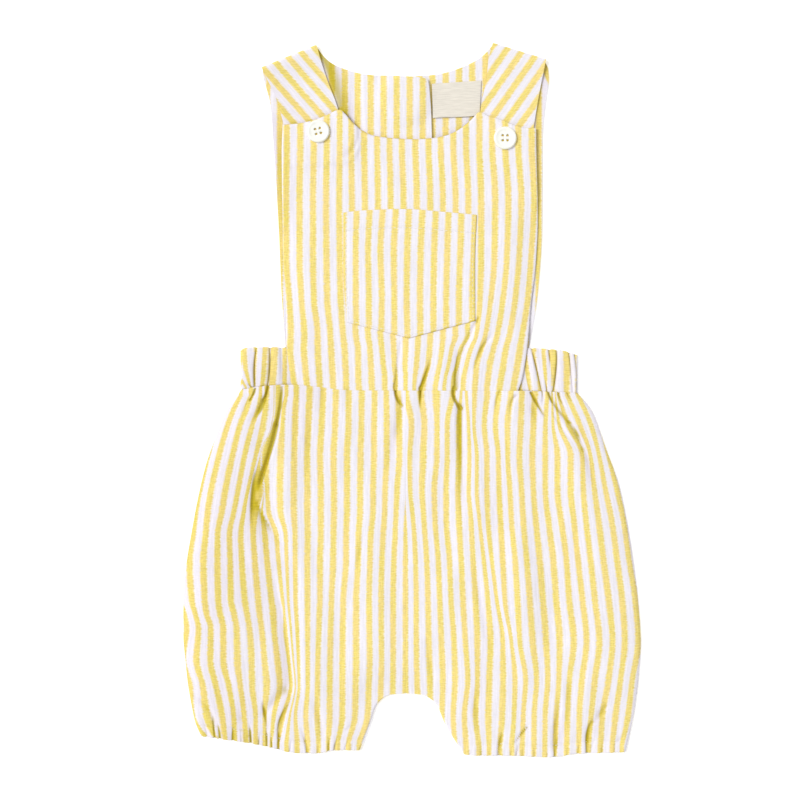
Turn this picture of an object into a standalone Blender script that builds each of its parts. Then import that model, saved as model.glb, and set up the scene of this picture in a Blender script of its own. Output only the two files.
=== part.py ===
"""Baby bubble overalls laid flat: striped cloth, a bib with a pocket, crossed-over shoulder straps,
a gathered waist at the sides and elastic leg hems.

The garment lies on the plane z = 0 with its straps towards +Y. x is 0 on its middle line.
Tables and sizes are in millimetres, and each point is scaled to metres as it is placed.
Left and right are the sides of someone who looks down at the garment.
"""

import math

import bmesh
import bpy
import numpy as np
from mathutils import Matrix, Vector

MM = 0.001

# Cloth and seams
CLOTH = 1.2                 # wall of one layer: striped cloth with its turned edges
SEAM_GAP = 0.3              # between two pieces sewn together or lying on each other
LAYER = CLOTH + SEAM_GAP    # from the underside of one layer to the next one's
STEEPEST = 1.5              # most that a slope may thicken a wall, measured upright

# Waist
SEAM_X = -4.0               # the shorts' centre seam
BAND_LEFT = -108.7          # sides of the elastic casing
BAND_RIGHT = 105.0
BAND_END_LEFT = -73.0       # where the casing ends under the bib's left edge
BAND_END_RIGHT = 66.0
BAND_PLEAT = 8.6            # from one gather of the elastic to the next
BAND_PLEAT_RISE = 1.2
BAND_FIRST_PLEAT = -104.0
BAND_END_SINK = 0.4         # how much lower its ends lie, under the bib
BAND_FRONT_LEFT = 12        # sections of the casing: front left, each turn, back, front right
BAND_TURN = 4
BAND_BACK = 12
BAND_FRONT_RIGHT = 14
BAND_SECTIONS = BAND_FRONT_LEFT + BAND_TURN + BAND_BACK + BAND_TURN + BAND_FRONT_RIGHT

# Leg hems
HEM_GATHER = 10.6           # from one gather to the next along a hem
HEM_GATHER_RISE = 1.5
HEM_GATHER_REACH = 13.0     # how far above the hem the gathers fade out

# Placket
PLACKET_UNDER_EDGE = -21.0  # edge of the right half, under the left one
PLACKET_RISE_START = 16.0   # how far before that edge the left half starts to rise over it
PLACKET_RISE = LAYER + 0.4  # with room for the facets of both halves over the button
BIB_LOWEST = PLACKET_RISE + LAYER    # underside of the bib, clear of the placket and the straps
BIB_REST = BIB_LOWEST + 0.2
BACK_BUTTON = (-4.4, 190.9)
BACK_BUTTON_HEIGHT = 2.0
BACK_BUTTON_CLEAR = BACK_BUTTON_HEIGHT + 0.4    # underside of the cloth over the button
BACK_BUTTON_DOME = 9.4      # flat top of the rise that the button gives the cloth
BACK_BUTTON_SLOPE = 11.0
UPPER_HALF_WIDER = 1.5      # how much wider the rise is in the upper half, to clear the lower one

# Buttons
BUTTON_RADIUS = 7.2
BUTTON_HEIGHT = 2.6
BUTTON_RIM = 1.3
BUTTON_DISH = 0.6
BUTTON_BEVEL = 0.4
BUTTON_HOLE_RADIUS = 0.9
BUTTON_HOLE_SPACING = 3.0
BUTTON_SIDES = 28
HOLE_SIDES = 8
BUTTONS = (
    # name, x, y, turn in degrees
    ("button_left", -59.0, 169.6, -12.0),
    ("button_right", 58.7, 165.2, 0.0),
)

# Height of the waist seam: x, y
WAIST_LINE = (
    (-110.0, 7.0),
    (-79.0, 9.6),
    (-62.0, 8.6),
    (-40.0, 6.2),
    (0.0, 6.0),
    (67.0, 5.7),
    (106.0, 4.6),
)

# Top edge of the elastic casing, where the back halves are sewn on: x, y
BAND_TOP = (
    (-110.0, 33.2),
    (0.0, 32.6),
    (72.0, 32.6),
    (92.0, 31.4),
    (106.0, 28.0),
)

BIB_LOW = 6.0               # of the bib's side edges
BIB_HIGH = 176.0
BIB_EDGE_SOFTNESS = 16.0    # how far inside its side edges the bib takes on the full relief
BIB_RELIEF_BASE = 0.3       # relief of the bib where it has no fold
BIB_ROW_GRADING = 1.25      # closer rows towards the waist, where the folds are

# Bib outline: share of its height, left edge, right edge
BIB_SIDES = (
    (0.00, -76.5, 67.0),
    (0.05, -77.4, 69.6),
    (0.16, -79.4, 72.6),
    (0.33, -80.0, 75.2),
    (0.50, -81.5, 78.4),
    (0.65, -81.9, 79.5),
    (0.90, -82.3, 78.5),
    (1.00, -81.7, 78.3),
)

# Bib top edge, from the left corner round the neck to the right corner: x, y
BIB_TOP = (
    (-82.0, 173.8),
    (-72.0, 174.6),
    (-62.6, 176.5),
    (-54.0, 179.8),
    (-45.6, 183.2),
    (-42.6, 181.0),
    (-37.3, 175.1),
    (-31.9, 170.6),
    (-23.8, 167.0),
    (-9.0, 165.2),
    (2.0, 164.8),
    (12.6, 165.5),
    (20.6, 166.9),
    (27.8, 169.8),
    (36.7, 176.5),
    (43.0, 182.0),
    (48.6, 179.3),
    (56.6, 177.0),
    (65.7, 173.4),
    (73.8, 171.8),
    (79.0, 171.9),
)
# Where the bib's neck corners fall, as a share of its columns and of its width
BIB_COLUMNS = (
    (0.0, 0.0),
    (6 / 26, 0.2270),
    (20 / 26, 0.7790),
    (1.0, 1.0),
)

# How high the underside of the bib's side edges lies: y, z
BIB_EDGE_LIFT = (
    (0.0, 3.2),
    (38.0, 3.2),
    (52.0, 1.6),
    (112.0, 1.6),
    (134.0, 3.2),
    (190.0, 3.2),
)

# Pocket: top edge and bottom edge, x, y, then share of height, left edge, right edge
POCKET_TOP = ((-43.5, 118.2), (-31.0, 119.6), (-5.0, 120.5), (18.0, 118.9), (41.0, 116.8))
POCKET_BOTTOM = ((-42.0, 49.2), (-1.9, 38.8), (40.2, 49.9))
POCKET_SIDES = ((0.0, -41.2, 40.0), (0.5, -43.4, 39.8), (1.0, -43.3, 40.9))
POCKET_LIFT = 0.45          # clearance above the bib under its facets
POCKET_CLOTH_WALL = 1.0

# A strap and its back half: section, outer edge x, y, inner edge x, y.
# Sections below BACK_FOLD lie on the ground, the others come down the front.
BACK_FOLD = 16
BACK_LEFT = (
    (0, -80.2, 32.5, 12.2, 32.5),
    (2, -82.6, 68.0, 12.4, 78.0),
    (4, -84.2, 106.0, 12.6, 124.0),
    (6, -86.2, 140.0, 12.6, 162.0),
    (7, -87.0, 152.0, 12.3, 176.0),
    (8, -87.8, 163.0, 11.4, 190.0),
    (9, -88.4, 172.0, 9.6, 202.6),
    (10, -88.8, 178.0, -2.0, 204.1),
    (12, -90.0, 188.8, -26.0, 205.4),
    (14, -92.8, 199.4, -48.0, 211.5),
    (15, -94.2, 204.4, -55.2, 216.6),
    (16, -94.4, 208.6, -59.8, 222.8),
)
BACK_RIGHT = (
    (0, 74.2, 32.5, -21.0, 32.5),
    (2, 79.8, 70.0, -21.0, 78.0),
    (4, 82.4, 110.0, -21.0, 124.0),
    (6, 82.6, 142.0, -21.0, 162.0),
    (7, 82.6, 153.0, -21.0, 176.0),
    (8, 82.6, 164.0, -21.0, 190.0),
    (9, 83.0, 173.0, -20.6, 203.4),
    (10, 83.6, 180.0, -8.0, 204.0),
    (12, 85.2, 192.5, 16.0, 206.0),
    (14, 86.6, 203.4, 38.0, 213.4),
    (15, 86.2, 209.2, 45.4, 218.4),
    (16, 84.4, 213.6, 50.6, 224.0),
)
STRAP_LEFT = (
    (0, -94.4, 208.6, -59.8, 222.8),
    (1, -92.4, 204.2, -58.2, 216.6),
    (3, -86.6, 192.6, -54.0, 203.4),
    (5, -81.6, 176.0, -46.6, 183.0),
    (7, -75.0, 149.6, -42.0, 158.0),
)
STRAP_RIGHT = (
    (0, 84.4, 213.6, 50.6, 224.0),
    (1, 83.4, 208.6, 48.6, 217.0),
    (3, 80.8, 195.6, 47.0, 202.4),
    (5, 77.6, 177.0, 43.2, 182.6),
    (7, 73.0, 147.6, 42.0, 155.0),
)
STRAP_SECTIONS = 7
FOLD_RADIUS = 1.5           # of the middle of the cloth where a strap turns over the shoulder
FOLD_STEPS = 5
STRAP_SETTLE = 2.5          # sections over which a strap comes down from its fold

# Half of the shorts: section, outer edge x, y, inner edge x, y, share of the hem's drop.
# The inner edge runs down the centre seam to the crotch and then along the inner leg.
SHORTS_SECTIONS = 20
CROTCH_SECTION = 16
SHORTS_LEFT = (
    (0, -107.3, 6.8, -4.0, 6.0, 0.0),
    (2, -115.4, -4.0, -4.0, -9.0, 0.0),
    (4, -124.0, -23.0, -4.0, -30.0, 0.0),
    (6, -131.2, -44.0, -4.0, -53.0, 0.0),
    (9, -138.8, -80.0, -4.0, -92.0, 0.1),
    (12, -144.2, -118.0, -4.0, -132.0, 0.2),
    (14, -144.8, -145.0, -4.0, -160.0, 0.35),
    (16, -143.0, -169.0, -4.0, -185.2, 0.5),
    (17, -141.6, -181.0, -13.8, -186.4, 0.6),
    (18, -139.6, -192.5, -21.8, -192.2, 0.7),
    (19, -137.4, -203.0, -26.2, -204.0, 0.85),
    (20, -133.6, -212.6, -32.9, -221.4, 1.0),
)
SHORTS_RIGHT = (
    (0, 104.4, 4.8, -4.0, 6.0, 0.0),
    (2, 113.4, -6.0, -4.0, -9.0, 0.0),
    (4, 123.2, -32.0, -4.0, -30.0, 0.0),
    (6, 131.4, -55.0, -4.0, -53.0, 0.0),
    (9, 138.6, -92.0, -4.0, -92.0, 0.1),
    (12, 143.4, -130.0, -4.0, -132.0, 0.2),
    (14, 144.8, -154.0, -4.0, -160.0, 0.35),
    (16, 143.4, -176.0, -4.0, -185.2, 0.5),
    (17, 142.0, -188.0, 5.8, -186.4, 0.6),
    (18, 140.2, -200.0, 14.4, -191.4, 0.7),
    (19, 137.8, -211.5, 21.4, -206.0, 0.85),
    (20, 135.2, -222.6, 32.7, -224.0, 1.0),
)
# How far the hems drop below a straight line: share from the outer end, drop
HEM_DROP_LEFT = ((0.0, 0.0), (0.3, 1.4), (0.6, 5.2), (0.72, 4.4), (0.85, 1.4), (1.0, 0.0))
HEM_DROP_RIGHT = ((0.0, 0.0), (0.3, 0.6), (0.45, 2.6), (0.7, 1.4), (0.92, 0.8), (1.0, 0.0))
WAIST_SECTIONS = 5          # sections over which the waist seam's curve fades out

# How far the front of the shorts puffs up off the back: y, rise of its middle
PUFF = (
    (-225.0, 0.6),
    (-205.0, 2.2),
    (-170.0, 3.4),
    (-110.0, 3.6),
    (-50.0, 3.2),
    (-15.0, 2.6),
    (6.0, 1.4),
    (20.0, 1.2),
    (50.0, 0.6),
    (80.0, 0.3),
    (185.0, 0.3),
)
SIDE_ROUNDING = 9.0         # how fast the front rises from its side edges
WAIST_LIFT = 1.2            # of the front at the waist seam, where the casing gathers it
BIB_WAIST_LIFT = 1.7        # of the front at the waist seam, below the bib
WAIST_LIFT_REACH = 30.0     # how far below the waist that lift fades out
WAIST_GATHER_FROM = 68.0    # distance from the middle where the waist's gathers start
WAIST_GATHER_FINENESS = 1.25
CROTCH_ARCH_Y = -200.0
CROTCH_FLAT = 14.0          # round the arch's middle, where the folds stay out

# Folds of the front: start x, y, bend x, y, end x, y, half width, rise (a trough is negative)
FRONT_FOLDS = (
    # the deep fold off the left gathers
    (-82.5, 3.0, -92.0, -38.0, -97.5, -66.0, 5.5, -3.8),
    (-97.5, -62.0, -94.0, -76.0, -88.0, -92.0, 6.0, -2.2),
    (-74.0, -6.0, -79.0, -50.0, -80.0, -96.0, 9.0, 2.2),
    (-104.0, -14.0, -113.0, -58.0, -120.0, -100.0, 9.0, 1.6),
    (-90.0, 2.0, -97.0, -5.0, -103.0, -12.0, 4.0, -1.8),
    # down from the pocket's left, through the waist
    (-8.5, 29.0, -8.8, 4.0, -15.0, -36.0, 4.0, -2.2),
    (13.0, 33.0, 6.6, 12.0, 5.0, -6.0, 3.6, -1.8),
    (2.0, 34.0, -1.0, 6.0, -4.0, -60.0, 6.0, 1.6),
    # down from the pocket's right corner, through the waist
    (38.2, 50.0, 28.0, 10.0, 31.5, -42.0, 4.4, -3.0),
    (47.0, 54.0, 38.0, 10.0, 43.0, -70.0, 6.5, 2.0),
    (53.0, 41.0, 44.6, 28.0, 38.6, 18.0, 3.4, -1.4),
    (22.0, 40.0, 18.0, 8.0, 20.0, -30.0, 5.0, 1.4),
    # right gathers
    (75.8, 12.0, 78.0, 0.0, 81.0, -12.0, 4.0, -1.8),
    (90.0, -5.0, 106.0, -25.0, 112.5, -46.0, 4.6, -2.4),
    (98.0, -22.0, 112.0, -70.0, 120.0, -130.0, 10.0, 1.4),
    (62.0, 0.0, 64.0, -30.0, 70.0, -120.0, 9.0, 1.6),
    (-46.0, 4.0, -48.0, -30.0, -50.0, -80.0, 9.0, 1.0),
    (-60.0, 6.0, -64.0, -14.0, -66.0, -30.0, 5.0, -1.2),
    # long soft waves of the legs
    (-77.0, -84.0, -78.0, -130.0, -74.0, -186.0, 8.0, 1.8),
    (-90.0, -140.0, -84.0, -160.0, -78.0, -184.0, 5.5, -2.4),
    (-78.0, -184.0, -88.0, -192.0, -93.0, -204.0, 4.5, -2.2),
    (-106.0, -120.0, -108.0, -150.0, -112.0, -196.0, 10.0, 1.5),
    (-52.0, -140.0, -54.0, -158.0, -56.0, -178.0, 6.0, -1.4),
    (-30.0, -60.0, -26.0, -110.0, -28.0, -170.0, 11.0, 1.4),
    (19.0, -50.0, 20.0, -76.0, 21.0, -104.0, 8.0, -1.8),
    (44.0, -76.0, 52.0, -120.0, 58.0, -170.0, 10.0, 1.8),
    (46.0, -166.0, 43.0, -182.0, 40.0, -200.0, 6.0, -1.8),
    (84.0, -70.0, 88.0, -110.0, 88.0, -150.0, 9.0, -1.4),
    (100.0, -184.0, 98.0, -195.0, 95.0, -207.0, 4.6, -2.2),
    (125.0, -192.0, 118.0, -201.0, 111.0, -210.0, 4.6, -2.0),
    (112.0, -165.0, 110.0, -185.0, 106.0, -205.0, 6.0, 1.3),
    (-116.0, -180.0, -112.0, -194.0, -106.0, -205.0, 4.6, -1.6),
)

# Label: share of its height, left end x, y, right end x, y
LABEL_ENDS = (
    (0.0, 13.0, 177.8, 41.8, 179.9),
    (1.0, 12.6, 200.0, 42.4, 202.0),
)
LABEL_THICKNESS = 0.6
LABEL_LIFT = 0.6            # clearance above the facets that slope off the button's rise

STRIPED_CLOTH = ((0.95, 0.88, 0.62), 0.9)
BAND_CLOTH = ((0.93, 0.85, 0.58), 0.9)
POCKET_CLOTH = ((0.96, 0.90, 0.68), 0.9)
BUTTON_CREAM = ((0.96, 0.94, 0.86), 0.35)
LABEL_CREAM = ((0.82, 0.77, 0.67), 0.85)


def clear_scene():
    for old in list(bpy.data.objects):
        bpy.data.objects.remove(old, do_unlink=True)


def finish(name, mesh_edit, look):
    """Makes an object of a finished bmesh, shaded smooth, with its material."""
    mesh = bpy.data.meshes.new(name)
    bmesh.ops.recalc_face_normals(mesh_edit, faces=mesh_edit.faces)
    mesh_edit.to_mesh(mesh)
    mesh_edit.free()
    mesh.shade_smooth()
    mesh.set_sharp_from_angle(angle=math.radians(50))
    piece = bpy.data.objects.new(name, mesh)
    bpy.context.collection.objects.link(piece)
    colour, roughness = look
    material = bpy.data.materials.new(name + "_material")
    material.use_nodes = True
    surface = material.node_tree.nodes["Principled BSDF"]
    surface.inputs["Base Color"].default_value = (*colour, 1.0)
    surface.inputs["Roughness"].default_value = roughness
    surface.inputs["Metallic"].default_value = 0.0
    mesh.materials.append(material)
    return piece


# ---- curves through the rows of a table ----

def along_table(rows, place):
    """The other columns of a table at any place in its first, on smooth curves that never overshoot."""
    table = np.array(rows, dtype=float)
    key = table[:, 0]
    place = float(np.clip(place, key[0], key[-1]))
    low = int(np.clip(np.searchsorted(key, place, side="right") - 1, 0, len(key) - 2))
    run = np.diff(table, axis=0)[:, 1:] / np.diff(key)[:, None]
    step = key[low + 1] - key[low]
    t = (place - key[low]) / step
    start = knot_slope(run, low) * step
    end = knot_slope(run, low + 1) * step
    first = table[low, 1:]
    last = table[low + 1, 1:]
    return ((2 * t**3 - 3 * t**2 + 1) * first + (t**3 - 2 * t**2 + t) * start
            + (3 * t**2 - 2 * t**3) * last + (t**3 - t**2) * end)


def knot_slope(run, knot):
    """Slope at a row: none at a turning point, so that a curve stays between its rows."""
    before = run[max(knot - 1, 0)]
    after = run[min(knot, len(run) - 1)]
    product = before * after
    total = np.where(product > 0, before + after, 1.0)
    return np.where(product > 0, 2 * product / total, 0.0)


def height_at(rows, place):
    return float(along_table(rows, place)[0])


def smooth_step(value):
    value = min(max(value, 0.0), 1.0)
    return value * value * (3 - 2 * value)


def mix(first, last, share):
    return first + (last - first) * share


# ---- how high each layer lies ----

def fold_distance(fold, x, y):
    """Distance from a fold's line, which has one bend."""
    x0, y0, x1, y1, x2, y2 = fold[:6]
    nearest = 1e9
    for ax, ay, bx, by in ((x0, y0, x1, y1), (x1, y1, x2, y2)):
        run_x = bx - ax
        run_y = by - ay
        t = ((x - ax) * run_x + (y - ay) * run_y) / (run_x**2 + run_y**2)
        t = min(max(t, 0.0), 1.0)
        nearest = min(nearest, math.hypot(x - ax - t * run_x, y - ay - t * run_y))
    return nearest


def front_relief(x, y):
    """Ridges and troughs of the front layer, with the puff that they ride on."""
    relief = height_at(PUFF, y)
    for fold in FRONT_FOLDS:
        half_width, rise = fold[6:]
        away = fold_distance(fold, x, y) / half_width
        if away < 3:
            relief += rise * math.exp(-away * away)
    return relief


def side_edges(y):
    """The shorts' side seams at a height, found in the tables of their halves."""
    left = [(-row[2], row[1]) for row in SHORTS_LEFT]
    right = [(-row[2], row[1]) for row in SHORTS_RIGHT]
    return height_at(left, -y), height_at(right, -y)


def hem_line(x):
    """Height of the leg hems: straight lines with their drop."""
    last, drop = (SHORTS_LEFT[-1], HEM_DROP_LEFT)
    if x > SEAM_X:
        last, drop = (SHORTS_RIGHT[-1], HEM_DROP_RIGHT)
    share = min(max((x - last[1]) / (last[3] - last[1]), 0.0), 1.0)
    return mix(last[2], last[4], share) - height_at(drop, share)


def gathers(x, edge_distance):
    """Small waves that the elastic makes, uneven in their spacing, fading away from the hem."""
    phase = x / HEM_GATHER + 0.35 * math.sin(x / 19.0)
    wave = 0.5 + 0.5 * math.cos(2 * math.pi * phase)
    return HEM_GATHER_RISE * wave * math.exp(-max(edge_distance, 0.0) / HEM_GATHER_REACH)


def shorts_under(x, y):
    """Underside of the front of the shorts."""
    left, right = side_edges(y)
    rounded = 1 - math.exp(-max(min(x - left, right - x), 0.0) / SIDE_ROUNDING)
    waist = height_at(WAIST_LINE, x)
    below_waist = waist - y
    # the bib lies higher than the gathered sides, and the cloth below it starts at its height
    below_bib = smooth_step((x + 84) / 12) * smooth_step((76 - x) / 12)
    start = mix(WAIST_LIFT, BIB_WAIST_LIFT, below_bib)
    start *= math.exp(-max(below_waist, 0.0) / WAIST_LIFT_REACH)
    clear_of_arch = smooth_step((math.hypot(x - SEAM_X, y - CROTCH_ARCH_Y) - CROTCH_FLAT) / 26)
    wave = gathers(x, y - hem_line(x))
    beside_bib = smooth_step((abs(x + 2) - WAIST_GATHER_FROM) / 14)
    side_gather = beside_bib * gathers(x * WAIST_GATHER_FINENESS, below_waist * 1.2)
    relief = (front_relief(x, y) * clear_of_arch + start) * rounded + wave + side_gather
    return LAYER + max(relief, 0.0)


def bib_edges(y):
    """The bib's side edges at a height."""
    return along_table(BIB_SIDES, (y - BIB_LOW) / (BIB_HIGH - BIB_LOW))


def bib_under(x, y):
    """Underside of the bib, clear of the strap ends, the placket and the casing."""
    left, right = bib_edges(y)
    inwards = smooth_step(min(x - left, right - x) / BIB_EDGE_SOFTNESS)
    base = mix(height_at(BIB_EDGE_LIFT, y), BIB_REST, inwards)
    lowest = mix(height_at(BIB_EDGE_LIFT, y), BIB_LOWEST, inwards)
    relief = front_relief(x, y) - BIB_RELIEF_BASE
    return max(base + relief * mix(0.25, 1.0, inwards), lowest)


def under_placket(x):
    """Rise of the left back half over the right half's edge."""
    return PLACKET_RISE * smooth_step((x - PLACKET_UNDER_EDGE + PLACKET_RISE_START) / 8)


def over_button(x, y, wider=0.0):
    """Rise of both back halves over the button on the outside of the placket."""
    away = math.hypot(x - BACK_BUTTON[0], y - BACK_BUTTON[1]) - BACK_BUTTON_DOME - wider
    return BACK_BUTTON_CLEAR * smooth_step(1 - away / BACK_BUTTON_SLOPE)


def upper_side(under, x, y, thickness=CLOTH):
    """Height of a wall's upper side, a full thickness off its underside even where it slopes."""
    slope_x = (under(x + 1, y) - under(x - 1, y)) / 2
    slope_y = (under(x, y + 1) - under(x, y - 1)) / 2
    return under(x, y) + thickness * min(math.hypot(1, slope_x, slope_y), STEEPEST)


def bib_top_side(x, y):
    return upper_side(bib_under, x, y)


# ---- building cloth ----

def cloth_panel(name, columns, rows, place, under, look, thickness=CLOTH):
    """A cut piece that lies face up. place gives x and y for a share across and a share up."""
    panel = bmesh.new()
    bmesh.ops.create_grid(panel, x_segments=columns, y_segments=rows, size=0.5)
    spots = {}
    for vert in panel.verts:
        x, y = place(vert.co.x + 0.5, vert.co.y + 0.5)
        spots[vert] = (x, y)
        vert.co = Vector((x, y, under(x, y))) * MM
    upper = bmesh.ops.extrude_face_region(panel, geom=list(panel.faces), use_keep_orig=True)
    for vert in upper["geom"]:
        if isinstance(vert, bmesh.types.BMVert):
            x = vert.co.x / MM
            y = vert.co.y / MM
            vert.co.z = upper_side(under, x, y, thickness) * MM
    return finish(name, panel, look)


def cloth_strip(name, columns, rows, middle, look):
    """A piece that turns over on itself. middle gives the middle of its thickness."""
    strip = bmesh.new()
    bmesh.ops.create_grid(strip, x_segments=columns, y_segments=rows, size=0.5)
    for vert in strip.verts:
        vert.co = Vector(middle(vert.co.x + 0.5, vert.co.y + 0.5)) * MM
    strip.normal_update()
    outwards = {vert.index: vert.normal.copy() for vert in strip.verts}
    middles = {vert.index: vert.co.copy() for vert in strip.verts}
    first = list(strip.verts)
    other = bmesh.ops.extrude_face_region(strip, geom=list(strip.faces), use_keep_orig=True)
    fresh = [vert for vert in other["geom"] if isinstance(vert, bmesh.types.BMVert)]
    half = CLOTH / 2 * MM
    by_place = {tuple(middles[index]): index for index in middles}
    for vert in fresh:
        index = by_place[tuple(vert.co)]
        vert.co = middles[index] + outwards[index] * half
    for vert in first:
        vert.co = middles[vert.index] - outwards[vert.index] * half
    for vert in strip.verts:
        vert.co.z = max(vert.co.z, 0.0)
    return finish(name, strip, look)


def on_the_ground(x, y):
    return 0.0


# ---- shorts ----

def shorts_spot(table, drop, across, up):
    """Plan of a half of the shorts, from the outer edge to the centre seam and inner leg."""
    section = SHORTS_SECTIONS * (1 - up)
    outer_x, outer_y, inner_x, inner_y, drop_share = along_table(table, section)
    x = mix(outer_x, inner_x, across)
    y = mix(outer_y, inner_y, across) - drop_share * height_at(drop, across)
    straight = mix(table[0][2], table[0][4], across)
    seam = height_at(WAIST_LINE, x) - SEAM_GAP / 2
    y += (seam - straight) * smooth_step(1 - section / WAIST_SECTIONS)
    sign = 1 if outer_x < SEAM_X else -1
    beside_seam = smooth_step((CROTCH_SECTION + 0.5 - section) / 0.5)
    return x - sign * across * SEAM_GAP / 2 * beside_seam, y


def build_shorts():
    halves = (("left", SHORTS_LEFT, HEM_DROP_LEFT), ("right", SHORTS_RIGHT, HEM_DROP_RIGHT))
    for side, table, drop in halves:
        def place(across, up, table=table, drop=drop):
            return shorts_spot(table, drop, across, up)

        cloth_panel("shorts_front_" + side, 36, SHORTS_SECTIONS, place, shorts_under, STRIPED_CLOTH)
        cloth_panel("shorts_back_" + side, 9, SHORTS_SECTIONS // 2, place, on_the_ground, STRIPED_CLOTH)


# ---- bib and pocket ----

def bib_spot(across, up):
    share = height_at(BIB_COLUMNS, across)
    rise = up**BIB_ROW_GRADING
    left, right = along_table(BIB_SIDES, rise)
    x = mix(left, right, share)
    low = height_at(WAIST_LINE, x) + SEAM_GAP / 2
    return x, mix(low, height_at(BIB_TOP, x), rise)


def pocket_spot(across, up):
    left, right = along_table(POCKET_SIDES, up)
    x = mix(left, right, across)
    low = np.interp(x, *zip(*POCKET_BOTTOM))
    return x, mix(float(low), height_at(POCKET_TOP, x), up)


def pocket_under(x, y):
    return bib_top_side(x, y) + POCKET_LIFT


def build_bib():
    cloth_panel("front_bib", 26, 22, bib_spot, bib_under, STRIPED_CLOTH)
    cloth_panel("chest_pocket", 10, 10, pocket_spot, pocket_under, POCKET_CLOTH, POCKET_CLOTH_WALL)


# ---- back halves with their straps ----

def back_spot(back, strap, over_placket, across, up):
    """Up the back on the ground, round the shoulder fold, and down the front to the strap's end."""
    sections = BACK_FOLD + FOLD_STEPS + STRAP_SECTIONS
    section = sections * up
    fold_end = BACK_FOLD + FOLD_STEPS
    outer = Vector(back[-1][1:3])
    inner = Vector(back[-1][3:5])
    along_fold = inner - outer
    outwards = Vector((-along_fold.y, along_fold.x)).normalized()
    if outwards.y < 0:
        outwards.negate()
    if section <= BACK_FOLD:
        outer_x, outer_y, inner_x, inner_y = along_table(back, section)
        x = mix(outer_x, inner_x, across)
        y = mix(outer_y, inner_y, across)
        if section < 0.5:
            y = height_at(BAND_TOP, x) + SEAM_GAP
        if over_placket:
            rise = under_placket(x) + over_button(x, y, UPPER_HALF_WIDER)
        else:
            rise = over_button(x, y)
        return x, y, CLOTH / 2 + rise
    turn = math.pi * min((section - BACK_FOLD) / FOLD_STEPS, 1.0)
    if section < fold_end:
        spot = outer + along_fold * across + outwards * FOLD_RADIUS * math.sin(turn)
        return spot.x, spot.y, CLOTH / 2 + FOLD_RADIUS * (1 - math.cos(turn))
    down = section - fold_end
    outer_x, outer_y, inner_x, inner_y = along_table(strap, down)
    settled = smooth_step(down / STRAP_SETTLE)
    height = mix(CLOTH / 2 + 2 * FOLD_RADIUS, LAYER + CLOTH / 2, settled)
    return mix(outer_x, inner_x, across), mix(outer_y, inner_y, across), height


def build_back():
    sections = BACK_FOLD + FOLD_STEPS + STRAP_SECTIONS

    def left_middle(across, up):
        return back_spot(BACK_LEFT, STRAP_LEFT, True, across, up)

    def right_middle(across, up):
        return back_spot(BACK_RIGHT, STRAP_RIGHT, False, across, up)

    cloth_strip("back_left", 14, sections, left_middle, STRIPED_CLOTH)
    cloth_strip("back_right", 14, sections, right_middle, STRIPED_CLOTH)


# ---- waistband ----

def band_middle(across, up):
    """Round the casing: front left, round the side, along the back, round, front right."""
    radius = (LAYER + 0.5) / 2
    left_turn = BAND_LEFT + CLOTH / 2 + radius
    right_turn = BAND_RIGHT - CLOTH / 2 - radius
    low = CLOTH / 2
    high = low + 2 * radius
    section = across * BAND_SECTIONS
    back_start = BAND_FRONT_LEFT + BAND_TURN
    back_end = back_start + BAND_BACK
    right_start = back_end + BAND_TURN
    if section <= BAND_FRONT_LEFT:
        x = mix(BAND_END_LEFT, left_turn, section / BAND_FRONT_LEFT)
        z = high + band_pleats(x, section)
    elif section <= back_start:
        turn = math.pi * (section - BAND_FRONT_LEFT) / BAND_TURN
        x = left_turn - radius * math.sin(turn)
        z = low + radius * (1 + math.cos(turn))
    elif section <= back_end:
        x = mix(left_turn, right_turn, (section - back_start) / BAND_BACK)
        z = low
    elif section <= right_start:
        turn = math.pi * (section - back_end) / BAND_TURN
        x = right_turn + radius * math.sin(turn)
        z = low + radius * (1 - math.cos(turn))
    else:
        x = mix(right_turn, BAND_END_RIGHT, (section - right_start) / BAND_FRONT_RIGHT)
        z = high + band_pleats(x, BAND_SECTIONS - section)
    bottom = height_at(WAIST_LINE, x) + SEAM_GAP / 2
    return x, mix(bottom, height_at(BAND_TOP, x), up), z


def band_pleats(x, sections_in):
    """Gathers of the elastic, flat where the bib covers the casing's end."""
    clear_of_bib = smooth_step((sections_in - 2) / 2)
    wave = 0.5 + 0.5 * math.cos(2 * math.pi * (x - BAND_FIRST_PLEAT) / BAND_PLEAT)
    return (BAND_PLEAT_RISE * wave - 0.1) * clear_of_bib - BAND_END_SINK * (1 - clear_of_bib)


def build_waistband():
    cloth_strip("waistband", BAND_SECTIONS, 3, band_middle, BAND_CLOTH)


# ---- buttons and label ----

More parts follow.
